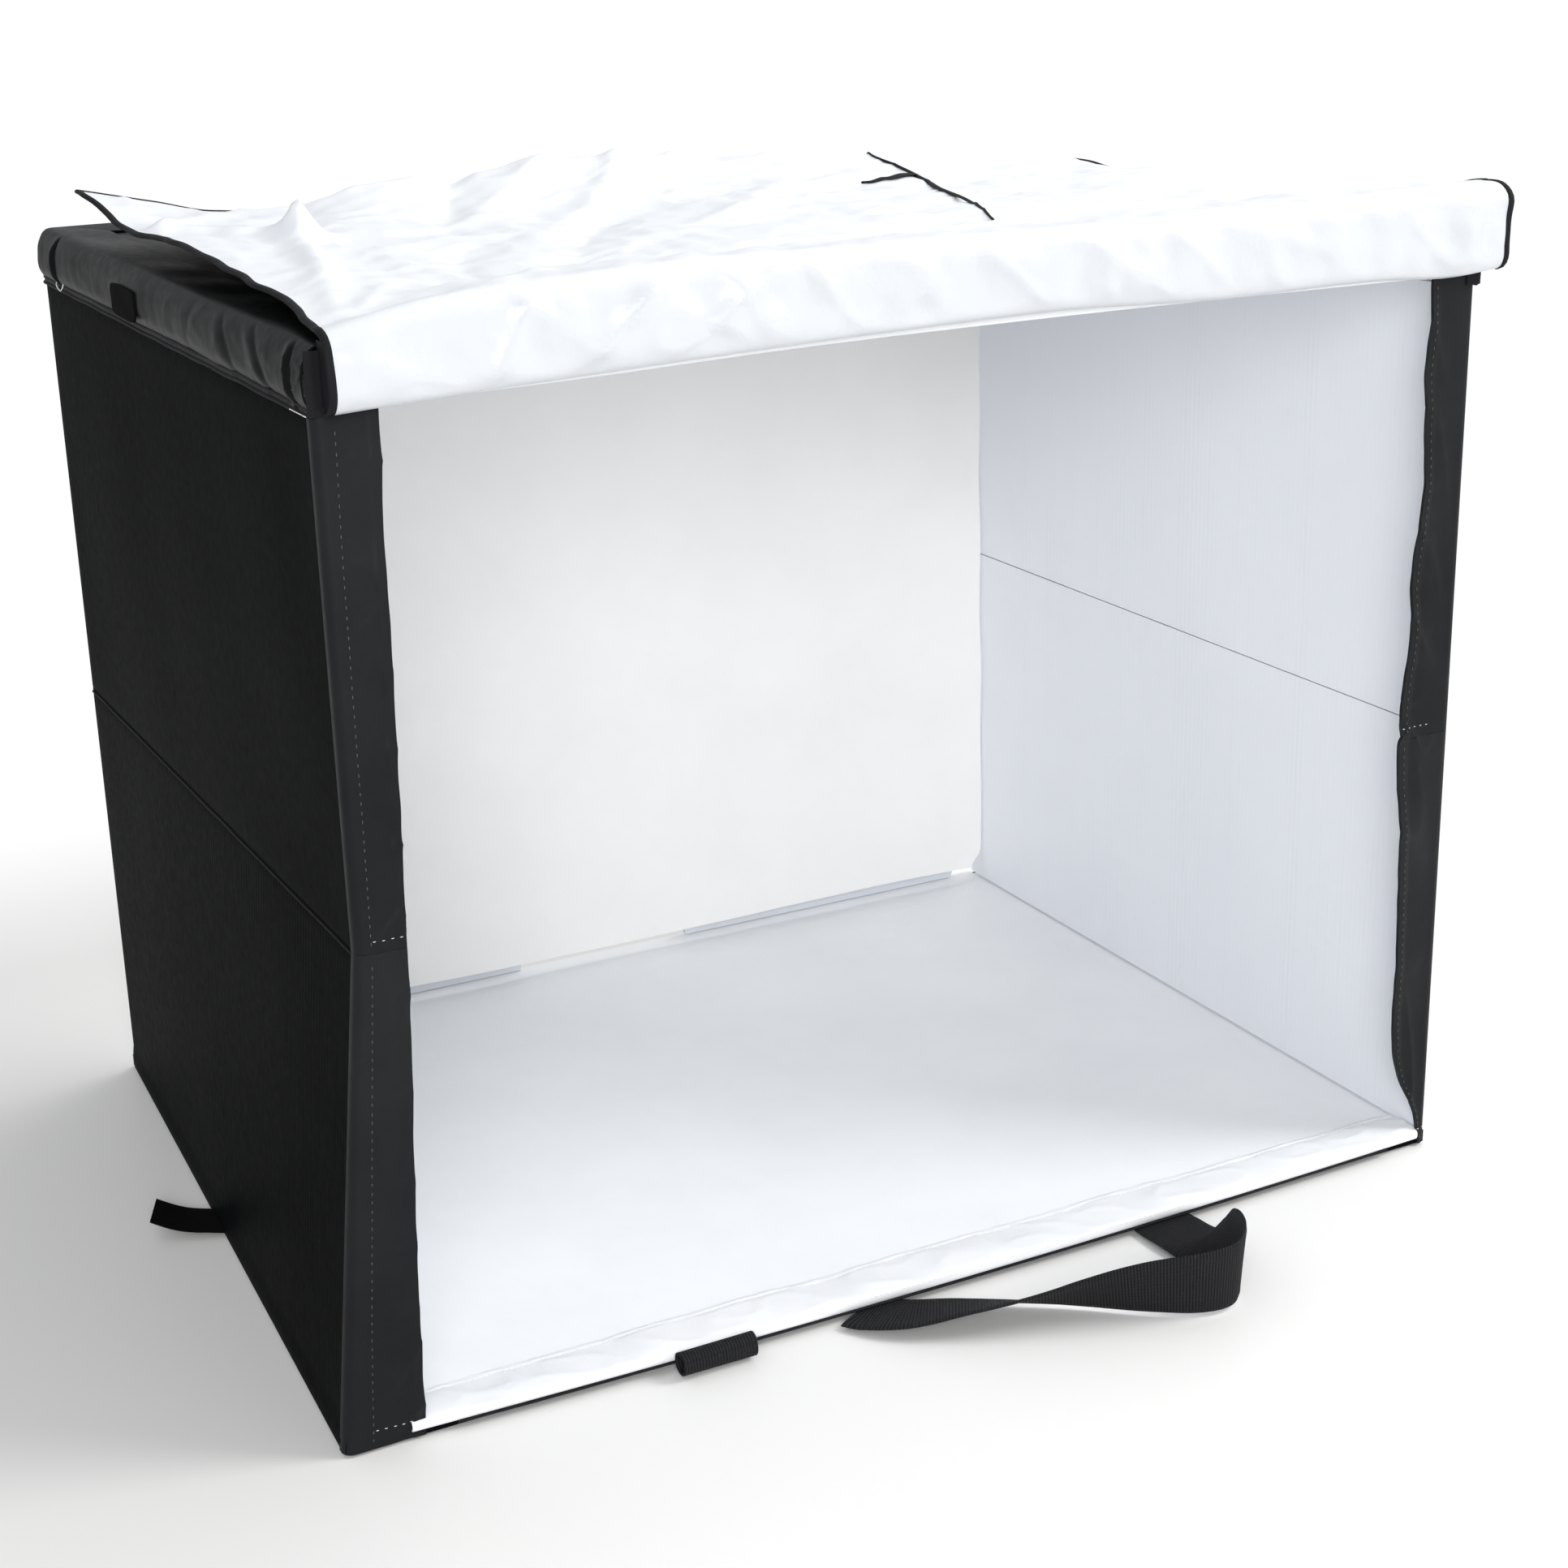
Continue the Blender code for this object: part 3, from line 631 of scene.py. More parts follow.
def flange_grid(side_name, sign, half_name):
    """The loose hem down a wall's front edge: round the corner from the wall, then free and wavy."""
    low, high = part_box(f"{side_name}_{half_name}_flange")
    bottom = 0.0006 if half_name == "lower" else low[2] - 0.0003
    top = high[2] + HEM_TUCK.get((side_name, half_name), 0.0003)
    zs = np.linspace(bottom, top, 130)
    inner = through(zs, INNER_EDGE[side_name])
    seed = 21 if side_name == "left" else 33
    loose = 0.0004 if side_name == "left" else 0.0013
    inner = inner + loose * (ripple(zs, seed, 0.09) + 0.3 * ripple(zs, seed + 1, 0.03))
    steps = 34
    u = np.linspace(0.0, 1.0, steps)
    corner, wrap = 0.005, 0.003
    round_length = corner * math.pi / 2
    front_y = FRONT - 0.0012
    rows = []
    for z, inner_x in zip(zs, inner):
        outer = HALF_W + 0.0002 + (float(flare(FRONT, z)) if side_name == "left" else 0.0)
        flat = outer - corner - inner_x
        run = u * (wrap + round_length + flat)
        on_wall = np.clip(run, 0.0, wrap)
        turn = np.clip((run - wrap) / corner, 0.0, math.pi / 2)
        ahead = np.clip(run - wrap - round_length, 0.0, None)
        x = outer - corner + corner * np.cos(turn) - ahead
        y = front_y + corner + wrap - on_wall - corner * np.sin(turn)
        rows.append(np.stack([sign * x, y, np.full(steps, z)], -1))
    grid = np.array(rows)
    z = grid[..., 2]
    free = smooth(0.3, 1.0, u)[None, :]
    near_fold = np.exp(-((z - FOLD_Z) / 0.018) ** 2)
    across = np.abs(grid[..., 0])
    slow = 0.0015 * waves(z, across * 0.6, seed + 2, 0.13)
    folds = 0.0017 * ridges(z + across * 0.9, across * 1.2, seed + 3, 0.075) - 0.001
    fine = 0.0004 * waves(z, across, seed + 4, 0.022)
    pinch = 0.003 * near_fold * ridges(z * 0.4, across, seed + 5, 0.02)
    bow = 0.0024 * np.sin(np.clip((z - low[2]) / (high[2] - low[2]), 0.0, 1.0) * math.pi)
    lift = free * (slow + folds + fine + bow) * (1.0 - 0.75 * near_fold) + free * pinch
    grid[..., 1] -= np.clip(lift, -0.0006, 0.0062)
    return grid


def flange(side_name, sign, half_name):
    """A hem with its stitches: one row along it, and one across where it is sewn down."""
    half_wall = f"{side_name}_{half_name}"
    grid = flange_grid(side_name, sign, half_name)
    if sign > 0:
        grid = grid[:, ::-1]
    count = grid.shape[1]
    edge = np.linspace(0.0, 1.0, count)[::-sign]
    thick = 0.0009 + 0.001 * smooth(0.84, 0.88, edge)[None, :] * np.ones((grid.shape[0], 1))
    name = f"{half_wall}_hem"
    piece = sheet(name, grid, thick, [NYLON_SOFT])
    place(piece, half_wall, "black_nylon", f"{half_wall}_flange")
    normal = grid_normals(grid)
    out = -np.sign(normal[..., 1].mean()) * normal
    surface = grid + out * thick[..., None] / 2
    label, share, span = ("corner", 0.42, (0.45, 0.97)) if sign < 0 else ("edge", 0.9, (0.03, 0.55))
    column = int(round(share * (count - 1)))
    column = column if sign < 0 else count - 1 - column
    long_way = (slice(2, -2), column)
    rows = [stitches(f"{name}_{label}_stitches", surface[long_way], out[long_way], [THREAD_GREY],
                     pitch=0.0046, dash=0.0017, seed=len(name))]
    label, end = ("bottom", 5) if half_name == "lower" else ("fold", 3)
    short_way = (end, slice(int(count * span[0]), int(count * span[1])))
    rows.append(stitches(f"{name}_{label}_stitches", surface[short_way], out[short_way], [THREAD_WHITE],
                         pitch=0.0044, dash=0.0014, thick=0.00034, seed=4))
    for row in rows:
        place(row, half_wall, "black_nylon")
    for obj in [piece, *rows]:
        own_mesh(obj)
    width = float(np.linalg.norm(np.diff(grid, axis=1), axis=2).sum(axis=1).mean())


def fold_seam(side_name, sign):
    """The raised crease where the two halves of a wall meet, sewn through."""
    ys = np.linspace(FRONT + 0.004, WALL_BACK - 0.002, 80)
    path = np.stack([np.full_like(ys, sign * (HALF_W - 0.0004)), ys, np.full_like(ys, FOLD_Z - 0.0022)], -1)
    path[:, 2] += 0.0002 * ripple(ys, 3, 0.06)
    seam = sweep(f"{side_name}_fold_seam", path, oval(0.0014, 0.0014, 10), (sign, 0, 0), [NYLON_TAPE])
    place(seam, f"{side_name}_lower", "black_nylon")


for side, sign in (("left", -1), ("right", 1)):
    for half in ("lower", "upper"):
        wall_skin(side, sign, half)
        flange(side, sign, half)
    fold_seam(side, sign)


# ---- floor
def laid(name, low, high, counts, height, thick, mat, body, slot, *nodes):
    """Cloth glued to a level board, over a box seen from above, at the height that a function gives."""
    x, y = field(*(np.linspace(low[k], high[k], counts[k]) for k in (0, 1)))
    piece = sheet(name, np.stack([x, y, height(x, y)], -1), thick, [mat])
    place(piece, body, slot, *nodes)


def floor_cloth():
    """The floor's lining, with the slow unevenness of a soft sheet."""
    low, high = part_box("floor_lining")

    def height(x, y):
        edge = np.minimum.reduce([x - low[0], high[0] - x, y - low[1] + 0.02, high[1] - y])
        slow = 0.00045 * waves(x, y, 41, 0.22) * smooth(0.0, 0.03, edge)
        return high[2] - 0.001 + slow + 0.0003 * smooth(0.0, 0.006, edge)

    laid("floor_cloth", low, high, (120, 100), height, 0.001, FLOOR_WHITE, "floor", "white_lining",
         "floor_lining")


def front_bow(x):
    """How far the floor's soft front edge stands forward of the board."""
    return 0.0066 * np.clip(1.0 - (x / HALF_W) ** 2, 0.0, 1.0)


def floor_pad():
    """The padded edge sewn along the floor's front: a soft roll, pulled in at its stitches."""
    low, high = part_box("floor_front_binding")
    xs = np.linspace(low[0] + 0.0006, high[0] - 0.0006, 260)
    front, rear, top = low[1], high[1], high[2]
    section = catmull([
        (front - 0.0004, 0.0046), (front - 0.0022, 0.0052), (front - 0.0026, low[2] + 0.0006),
        (front - 0.0008, top + 0.0003), (front + 0.004, top + 0.0013), (front + 0.01, top + 0.0016),
        (front + 0.016, top + 0.001), (rear - 0.0025, top + 0.0002), (rear - 0.001, top + 0.0004),
        (rear + 0.0016, top - 0.0002),
    ], 4)
    x, y = field(xs, section[:, 0])
    z = np.repeat(section[None, :, 1], len(xs), axis=0)
    free = smooth(top - 0.001, top + 0.0014, z)
    z = z + free * (0.0009 * waves(x, y, 51, 0.045) + 0.0012 * ridges(x + 0.8 * y, y * 2, 52, 0.05) - 0.0005)
    y = y + 0.001 * ripple(x, 53, 0.09) * smooth(front + 0.008, rear, y)
    y = y - front_bow(x) * (1.0 - smooth(front, rear, y))
    grid = np.stack([x, y, z], -1)
    piece = sheet("floor_front_pad", grid, 0.0009, [PAD_WHITE])
    place(piece, "floor", "white_lining", "floor_front_binding")
    normal = grid_normals(grid)
    normal = normal * np.sign(normal[..., 2].mean())
    rows = []
    for label, column in (("rear", -9), ("front", 9)):
        up = normal[2:-2, column]
        line = grid[2:-2, column] + up * 0.0005
        row = stitches(f"floor_pad_{label}_stitches", line, up, [THREAD_WHITE], seed=8)
        rows.append(place(row, "floor", "white_lining"))
    for obj in [piece, *rows]:
        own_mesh(obj)


def floor_edge_cord():
    """The black bound edge under the padded front."""
    low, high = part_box("floor_front_piping")
    xs = np.linspace(low[0], high[0], 160)
    path = np.stack([xs, high[1] - front_bow(xs) - 0.0014, 0.0036 + 0.0002 * ripple(xs, 62, 0.08)], -1)
    piece = sweep("floor_edge_cord", path, oval(0.003, 0.0018, 12), (0, 0, 1), [NYLON_TAPE])
    place(piece, "floor", "black_nylon", "floor_front_piping")


floor_cloth()
floor_pad()
floor_edge_cord()


# ---- roof
def band_path(count, radius=0.008):
    """Round the roof's three closed sides, from the front left to the front right."""
    a = np.linspace(math.pi, math.pi / 2, 9)
    corner = np.stack([radius - HALF_W + radius * np.cos(a), HALF_D - radius + radius * np.sin(a)], -1)
    half = np.concatenate([[(-HALF_W, FRONT - 0.0008)], corner])
    flat = np.concatenate([half, half[::-1] * (-1.0, 1.0)])
    return spaced(np.column_stack([flat, np.zeros(len(flat))]), count)


def band_outward(path):
    tangent = unit(np.gradient(path, axis=0))
    return np.cross(tangent, (0.0, 0.0, -1.0))


# distance along the band from the front left, lean, depth and width of each tuck
BAND_TUCKS = [
    (0.017, 0.1, 0.003, 0.0016), (0.462, -0.05, 0.0034, 0.0016), (0.052, 0.85, 0.0012, 0.0036),
    (0.105, 0.7, 0.0008, 0.004), (0.19, -0.55, 0.0005, 0.005), (1.18, 0.05, 0.003, 0.0018),
    (1.64, -0.1, 0.003, 0.0016), (0.7, 0.5, 0.0008, 0.004), (0.95, -0.5, 0.0008, 0.004),
]


def roof_band():
    """The soft black band round the roof, over its edge and in under the flap."""
    path = band_path(1150)
    out = band_outward(path)
    run = lengths(path)
    section = catmull([
        (-0.0002, ROOF_LOW + 0.0004), (0.0008, ROOF_LOW + 0.002), (0.0004, ROOF_LOW + 0.004),
        (0.0026, ROOF_LOW + 0.009), (0.0032, ROOF_LOW + 0.015), (0.0028, ROOF_LOW + 0.022),
        (0.0014, ROOF_TOP - 0.0028), (-0.0012, ROOF_TOP + 0.001), (-0.006, ROOF_TOP + 0.0028),
        (-0.02, ROOF_TOP + 0.0022), (-0.034, ROOF_TOP + 0.0012),
    ], 4)
    s, v = field(run, lengths(section))
    middle = np.sin(np.clip(v / 0.034, 0.0, 1.0) * math.pi)
    creases = ridges(s + v * 0.8, v * 0.9, 71, 0.1)
    soft = 0.0007 * waves(s, v * 1.6, 72, 0.09) + 0.0006 * creases - 0.0003
    fine = 0.0001 * waves(s, v * 1.5, 73, 0.017)
    ends = np.exp(-(s / 0.03) ** 2) + np.exp(-((run[-1] - s) / 0.03) ** 2)
    tuck = 0.0008 * ends * ridges(s, v * 2, 74, 0.018)
    for at, lean, deep, wide in BAND_TUCKS:
        line = (s - at - lean * v) / wide
        tuck = tuck - deep * np.exp(-np.abs(line) ** 1.5) + 0.6 * deep * np.exp(-((line - 2.6) / 2) ** 2)
    push = np.maximum(middle * (soft + fine + tuck), -0.0026)
    over = section[None, :, 0] + push
    grid = np.zeros((len(run), len(section), 3))
    grid[..., 0] = path[:, None, 0] + out[:, None, 0] * over
    grid[..., 1] = path[:, None, 1] + out[:, None, 1] * over
    grid[..., 2] = section[None, :, 1] + 0.0006 * waves(s, v, 75, 0.08) * smooth(0.03, 0.05, v)
    piece = sheet("roof_band", grid, 0.0009, [NYLON_ROOF])
    place(piece, "roof", "black_nylon", "roof_cover")
    roof_corner("left", -1)
    roof_corner("right", 1)


def roof_corner(label, sign):
    """The band's end, turned in across the front corner of the roof."""
    x = np.linspace(HALF_W - 0.0075, HALF_W + 0.0026, 12)
    x, z = field(x, np.linspace(ROOF_LOW, ROOF_TOP, 30) + 0.001)
    y = FRONT - 0.0026 + 0.0012 * smooth(HALF_W, HALF_W + 0.0026, x) - 0.0004 * waves(x, z, 85, 0.02)
    piece = sheet(f"roof_corner_{label}", np.stack([sign * x, y, z], -1), 0.0009, [NYLON_TAPE])
    return place(piece, "roof", "black_nylon")


def roof_top():
    """The black cloth over the roof board, inside the band."""
    low, high = (-HALF_W + 0.02, FRONT + 0.001), (HALF_W - 0.02, HALF_D - 0.02)
    laid("roof_top", low, high, (90, 80), lambda x, y: ROOF_TOP - 0.0002 + 0.0006 * waves(x, y, 81, 0.12),
         0.0009, NYLON_ROOF, "roof", "black_nylon")


def roof_lining():
    """The white cloth under the roof board."""
    low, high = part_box("roof_lining")
    middle = (low[2] + high[2]) / 2
    laid("roof_ceiling_cloth", low, high, (80, 70), lambda x, y: middle - 0.0002 * (1 + waves(x, y, 83, 0.2)),
         0.0007, FLOOR_WHITE, "roof", "white_lining", "roof_lining")


def closure_pad():
    """The small square of touch fastener for the strap, its corners rounded, standing off the full band."""
    low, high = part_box("closure_patch")
    high = (high[0], high[1] - 0.003, high[2] - 0.003)
    across, up = field(np.linspace(-1.0, 1.0, 26), np.linspace(-1.0, 1.0, 26))
    shrink = 1.0 - 0.1 * (np.abs(across) ** 4 * np.abs(up) ** 4)
    x = (low[0] + high[0]) / 2 - 0.0041 + 0.0002 * waves(across, up, 5, 1.4)
    y = (low[1] + high[1]) / 2 + (high[1] - low[1]) / 2 * across * shrink
    z = (low[2] + high[2]) / 2 + (high[2] - low[2]) / 2 * up * shrink
    pad = sheet("closure_pad", np.stack([x, y, z], -1), high[0] - low[0], [FUZZY])
    place(pad, "roof", "hook_pad", "closure_patch")


def roof_trim():
    """Two rows of piping under the band, stitches at its front corner and a loose thread."""
    path = band_path(420)
    out = band_outward(path)
    for label, lift, over, size in (("lower", 0.001, 0.001, 0.0022), ("upper", 0.0042, 0.0008, 0.0018)):
        line = path + out * over
        line[:, 2] = ROOF_LOW + lift + 0.0004 * waves(path[:, 1], path[:, 0], 91, 0.05)
        cord = sweep(f"roof_piping_{label}", line, oval(size, size, 10), (0, 0, 1), [NYLON_TAPE])
        nodes = ("roof_band_piping",) if label == "lower" else ()
        place(cord, "roof", "black_nylon", *nodes)
    ys = np.linspace(FRONT + 0.001, FRONT + 0.026, 20)
    for label, z in (("low", ROOF_LOW + 0.0012), ("high", ROOF_LOW + 0.0105)):
        line = np.stack([np.full_like(ys, -HALF_W - 0.0026), ys, np.full_like(ys, z)], -1)
        row = stitches(f"band_{label}_stitches", line, (-1, 0, 0), [THREAD_WHITE], pitch=0.003, dash=0.0021,
                       seed=3)
        place(row, "roof", "black_nylon")
    loop = catmull([
        (-HALF_W - 0.0016, 0.2105, ROOF_LOW + 0.0075), (-HALF_W - 0.0034, 0.207, ROOF_LOW + 0.004),
        (-HALF_W - 0.003, 0.201, ROOF_LOW + 0.0016), (-HALF_W - 0.003, 0.196, ROOF_LOW + 0.003),
        (-HALF_W - 0.002, 0.1945, ROOF_LOW + 0.006),
    ], 8)
    thread = sweep("loose_thread_roof", loop, oval(0.0006, 0.0006, 6), (0, 0, 1), [THREAD_WHITE])
    place(thread, "roof", "black_nylon")


roof_band()
roof_top()
roof_lining()
closure_pad()
roof_trim()


# ---- door flap, thrown back over the roof
# stations of (y, z) for the left rim, and of (x, z) for the others
LEFT_RIM = [(-0.262, 0.5475), (-0.181, 0.553), (-0.097, 0.5568), (-0.011, 0.5602), (0.081, 0.556),
            (0.14, 0.5565), (0.186, 0.569)]
BACK_RIM = [(-0.318, 0.57), (-0.273, 0.56), (-0.236, 0.552), (-0.205, 0.5565), (-0.145, 0.5675),
            (-0.099, 0.5705), (-0.046, 0.5715), (0.007, 0.5715), (0.082, 0.568), (0.133, 0.564),
            (0.188, 0.5605), (0.243, 0.557), (0.33, 0.556)]
FRONT_TOP = [(-0.322, 0.5495), (-0.28, 0.558), (-0.2, 0.5635), (0.0, 0.564), (0.2, 0.5645),
             (0.3, 0.5665), (0.333, 0.566)]
ROLL_LOW = [(-0.322, 0.514), (-0.263, 0.5168), (-0.209, 0.5186), (-0.094, 0.5221), (-0.006, 0.5239),
            (0.05, 0.5245), (0.147, 0.5212), (0.251, 0.5214), (0.306, 0.5192), (0.334, 0.5215)]
STAR = (-0.244, 0.004)
# start, end, height and width of each crease; below zero it is a hollow
CREASES = [
    (STAR, (-0.295, 0.068), 0.005, 0.01), (STAR, (-0.204, 0.031), 0.004, 0.009),
    (STAR, (-0.31, -0.262), 0.0062, 0.0095), (STAR, (-0.178, 0.196), -0.0045, 0.013),
    (STAR, (-0.217, -0.178), 0.0042, 0.0075), ((-0.297, 0.069), (-0.228, 0.166), 0.0045, 0.011),
    ((-0.1, 0.16), (-0.159, 0.019), -0.006, 0.017), ((-0.047, 0.15), (-0.144, 0.045), 0.0055, 0.015),
    ((0.003, 0.14), (-0.143, -0.064), 0.0055, 0.015), ((-0.072, 0.012), (-0.182, -0.196), -0.006, 0.019),
    ((-0.186, -0.073), (-0.216, -0.179), -0.0045, 0.014),
    ((-0.228, -0.255), (-0.103, -0.106), 0.0038, 0.0065),
    ((-0.29, -0.233), (-0.26, -0.172), 0.0035, 0.0055), ((0.02, 0.186), (-0.02, 0.11), 0.004, 0.008),
    ((0.055, 0.186), (0.03, 0.12), 0.0035, 0.007), ((0.09, 0.186), (0.06, 0.13), -0.0035, 0.008),
    ((-0.01, -0.04), (0.11, 0.12), 0.0045, 0.016), ((0.06, -0.2), (0.0, -0.06), -0.0035, 0.018),
    ((0.23, -0.23), (0.15, -0.08), 0.004, 0.014), ((0.29, -0.12), (0.215, 0.03), 0.0038, 0.015),
    ((0.3, 0.1), (0.24, 0.0), -0.0035, 0.015), ((-0.02, -0.235), (-0.06, -0.15), 0.0032, 0.009),
]
# where along the roll, its slant, height and width, for each fold across the roll's face
ROLL_FOLDS = [
    (-0.245, 0.5, 0.0036, 0.006), (-0.205, 1.1, 0.0045, 0.007), (-0.16, 1.5, 0.0035, 0.009),
    (-0.06, 1.6, 0.0025, 0.012), (0.11, -1.2, 0.0022, 0.012), (0.3, 0.4, 0.0035, 0.01),
]
# the roll's section from its lower lip up: how far ahead of the roof's front, and the share of its height
ROLL_SECTION = [
    (-0.002, 0.085), (-0.005, 0.02), (-0.0088, 0.0), (-0.0128, 0.06), (-0.015, 0.23), (-0.0155, 0.52),
    (-0.0143, 0.78), (-0.0105, 0.93), (-0.004, 0.992),
]
ROLL_RIGHT = 0.3335
ROLL_ROWS = 34  # rows of the flap that its end caps close


def flap_left(y):
    drawn = smooth(FRONT - 0.013, FRONT + 0.075, y)
    corner = smooth(PANEL_BACK - 0.1, PANEL_BACK, y)
    return -0.3125 - 0.0085 * (1.0 - drawn) - 0.0045 * corner + 0.0012 * ripple(y, 101, 0.07) * drawn


def flap_right(y):
    return 0.3305 + 0.0015 * ripple(y, 102, 0.12)


def flap_height(x, y):
    """Height of the flap's middle surface over the roof."""
    rest = ROOF_TOP + 0.012 + 0.0022 * waves(x, y, 103, 0.17) + 0.0012 * waves(x, y, 104, 0.06)
    front = 1.0 - smooth(FRONT - 0.002, FRONT + 0.085, y)
    z = rest + (through(x, FRONT_TOP) - rest) * front
    at_left = np.exp(-((x + 0.314) / 0.045) ** 2)
    z = z + (through(y, LEFT_RIM) - z) * at_left * (1.0 - front * 0.5)
    at_back = smooth(0.05, PANEL_BACK, y) ** 1.5
    z = z + (through(x, BACK_RIM) - z) * at_back
    behind = 0.017 * smooth(-0.24, -0.17, x)
    beyond = 0.0085 * smooth(0.296, 0.3305, x) * smooth(-0.24, -0.205, y)
    z = np.maximum(z - behind * smooth(PANEL_BACK - 0.032, PANEL_BACK, y) - beyond, ROOF_TOP + 0.0034)
    marks = sum(crease(x, y, start, end, 1.2 * high, wide) for start, end, high, wide in CREASES)
    star = 0.0055 * np.exp(-np.hypot(x - STAR[0], y - STAR[1]) / 0.016)
    inside = smooth(0.0, 0.018, x + 0.316) * smooth(0.0, 0.02, PANEL_BACK - y) * smooth(0.0, 0.03, 0.33 - x)
    crumple = 0.0011 * ridges(x, y, 105, 0.055) + 0.0006 * waves(x, y, 106, 0.025)
    return z + (marks + star) * (0.25 + 0.75 * inside) * (1.0 - 0.7 * front) + crumple * inside


def flap_row(y, right, share):
    """One line of the flap, from its left rim to its right one, at this distance back."""
    x = flap_left(y) * (1 - share) + right * share
    return np.stack([x, np.full(len(x), y), flap_height(x, np.full(len(x), y))], -1)


def flap_grid():
    """The flap's middle surface: the roll in front of the header, then the cloth lying back over the roof."""
    share = np.linspace(0.0, 1.0, 250)
    roll_x = flap_left(np.full(len(share), FRONT - 0.013)) * (1 - share) + ROLL_RIGHT * share
    low = through(roll_x, ROLL_LOW)
    tall = through(roll_x, FRONT_TOP) - low
    shift = 0.0008 * ripple(roll_x, 111, 0.1)
    back_y = np.linspace(FRONT + 0.004, PANEL_BACK, 170)
    stations = [np.stack([roll_x, FRONT + out + shift * (0.2 < up), low + tall * up], -1)
                for out, up in ROLL_SECTION]
    stations.append(flap_row(back_y[0], flap_right(back_y[0]), share))
    roll = catmull(np.array(stations), 5)[:-1]
    x, z = roll[..., 0], roll[..., 2]
    up = (z - low) / tall
    face = smooth(0.02, 0.3, up) * (1.0 - smooth(0.75, 1.0, up))
    face = face * smooth(0.0, 0.02, FRONT + 0.006 - roll[..., 1])
    soft = 0.0012 * waves(x, z, 113, 0.05) + 0.0006 * waves(x, z, 114, 0.02)
    roll[..., 1] -= face * (0.003 * ridges(x + z * 0.9, z * 0.7, 112, 0.085) - 0.0014 + soft)
    for at, lean, high, wide in ROLL_FOLDS:
        line = x - at - lean * (z - 0.522)
        roll[..., 1] -= face * high * np.exp(-np.abs(line / wide) ** 1.3)
    rows = []
    for y in back_y:
        ease = smooth(FRONT, FRONT + 0.05, y)
        rows.append(flap_row(y, ROLL_RIGHT * (1 - ease) + flap_right(y) * ease, share))
    return np.concatenate([roll, np.array(rows)])


def flap_binding(grid, up):
    """The tape bound round the flap's three free edges."""
    path = np.concatenate([grid[:, 0], grid[-1, 1:-1], grid[::-1, -1]])
    lift = np.concatenate([up[:, 0], up[-1, 1:-1], up[::-1, -1]])
    run = lengths(path)
    at = np.linspace(0.0, run[-1], 620)
    profile = np.repeat(oval(0.0038, 0.0025, 12, 0.7)[None], len(at), axis=0)
    profile[..., 0] += 0.0009 + 0.0004 * ripple(at, 121, 0.03)[:, None]
    path, lift = (at_lengths(line, run, at) for line in (path, lift))
    return sweep("flap_binding", path, profile, unit(lift), [NYLON_TAPE])


def shaded_roll_end(label, rim, inset):
    """Black cloth closing one end of the roll: partly the flap's own black underside, partly painted shade, a
    dark sheet standing in for the shaded hollow inside the roll's open end.
    """
    rim = rim + np.array([inset, 0.0, 0.0])
    share = np.linspace(0.0, 1.0, 6)[None, :, None]
    root = np.stack([rim[:, 0], np.full(len(rim), FRONT - 0.0012), rim[:, 2]], -1)
    grid = root[:, None] * (1 - share) + rim[:, None] * share
    return sheet(f"shaded_roll_end_{label}", grid, 0.0008, [NYLON_TAPE])


def door_flap():
    """The door: white inside, black outside, bound in tape, bent where its strip meets its panel."""
    grid = flap_grid()[:, ::-1]
    piece = sheet("door_flap", grid, CLOTH, [FLAP_WHITE, NYLON_SOFT, NYLON_TAPE])
    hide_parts("door_strip_lining", "door_strip_outer", "door_panel_lining", "door_panel_outer")
    normal = grid_normals(grid)
    up = (normal * np.sign(normal[-60:, ..., 2].mean()))[:, ::-1]
    grid = grid[:, ::-1]
    binding = flap_binding(grid, up)
    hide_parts("door_edge_binding")
    # the roll's ends are closed with dark cloth: partly the real black underside, partly painted shade for
    # the hollow inside the roll
    ends = [shaded_roll_end("left", grid[:ROLL_ROWS, 0], 0.0004), shaded_roll_end("right", grid[:ROLL_ROWS, -1], -0.0004)]
    pieces = [piece, binding, *ends]
    for obj in pieces[1:]:
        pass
    for obj in pieces:
        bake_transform(obj)
    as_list(pieces[1:])


def tucked_tape(name, line, height, size, *nodes):
    """Black tape lying on the flap along a line, flat and of changing width."""
    profile = oval(1.0, 1.0, 10)[None] * np.stack([size, np.full_like(size, 0.0016)], -1)[:, None]
    piece = sweep(name, np.column_stack([line, height]), profile, (0, 0, 1), [NYLON_TAPE])
    place(piece, "door_panel", "black_nylon", *nodes)


def corner_fold():
    """The bound edge of a corner tucked over the flap, near the back right."""
    line = catmull([(0.184, 0.16), (0.179, 0.14), (0.175, 0.107), (0.17, 0.077), (0.164, 0.049),
                    (0.151, 0.014), (0.135, -0.035), (0.114, -0.09), (0.096, -0.134), (0.079, -0.176)], 12)
    t = np.linspace(0.0, 1.0, len(line))
    height = catmull(flap_height(line[::16, 0], line[::16, 1])[:, None], 16)[:, 0]
    line, t = line[:len(height)], t[:len(height)]
    height = np.maximum(height, flap_height(line[:, 0], line[:, 1])) + 0.0009
    size = 0.0009 + 0.0026 * np.sin(math.pi * np.clip(t * 1.05, 0, 1)) ** 1.5
    tucked_tape("tucked_corner_edge", line, height, size, "door_corner_fold")
    side = catmull([(0.167, 0.076), (0.155, 0.068), (0.14, 0.062), (0.122, 0.056)], 8)
    t = np.linspace(0.0, 1.0, len(side))
    size = 0.01 * (1.0 - t) ** 0.7 + 0.0016
    tucked_tape("tucked_corner_gap", side, flap_height(side[:, 0], side[:, 1]) + 0.0012, size)


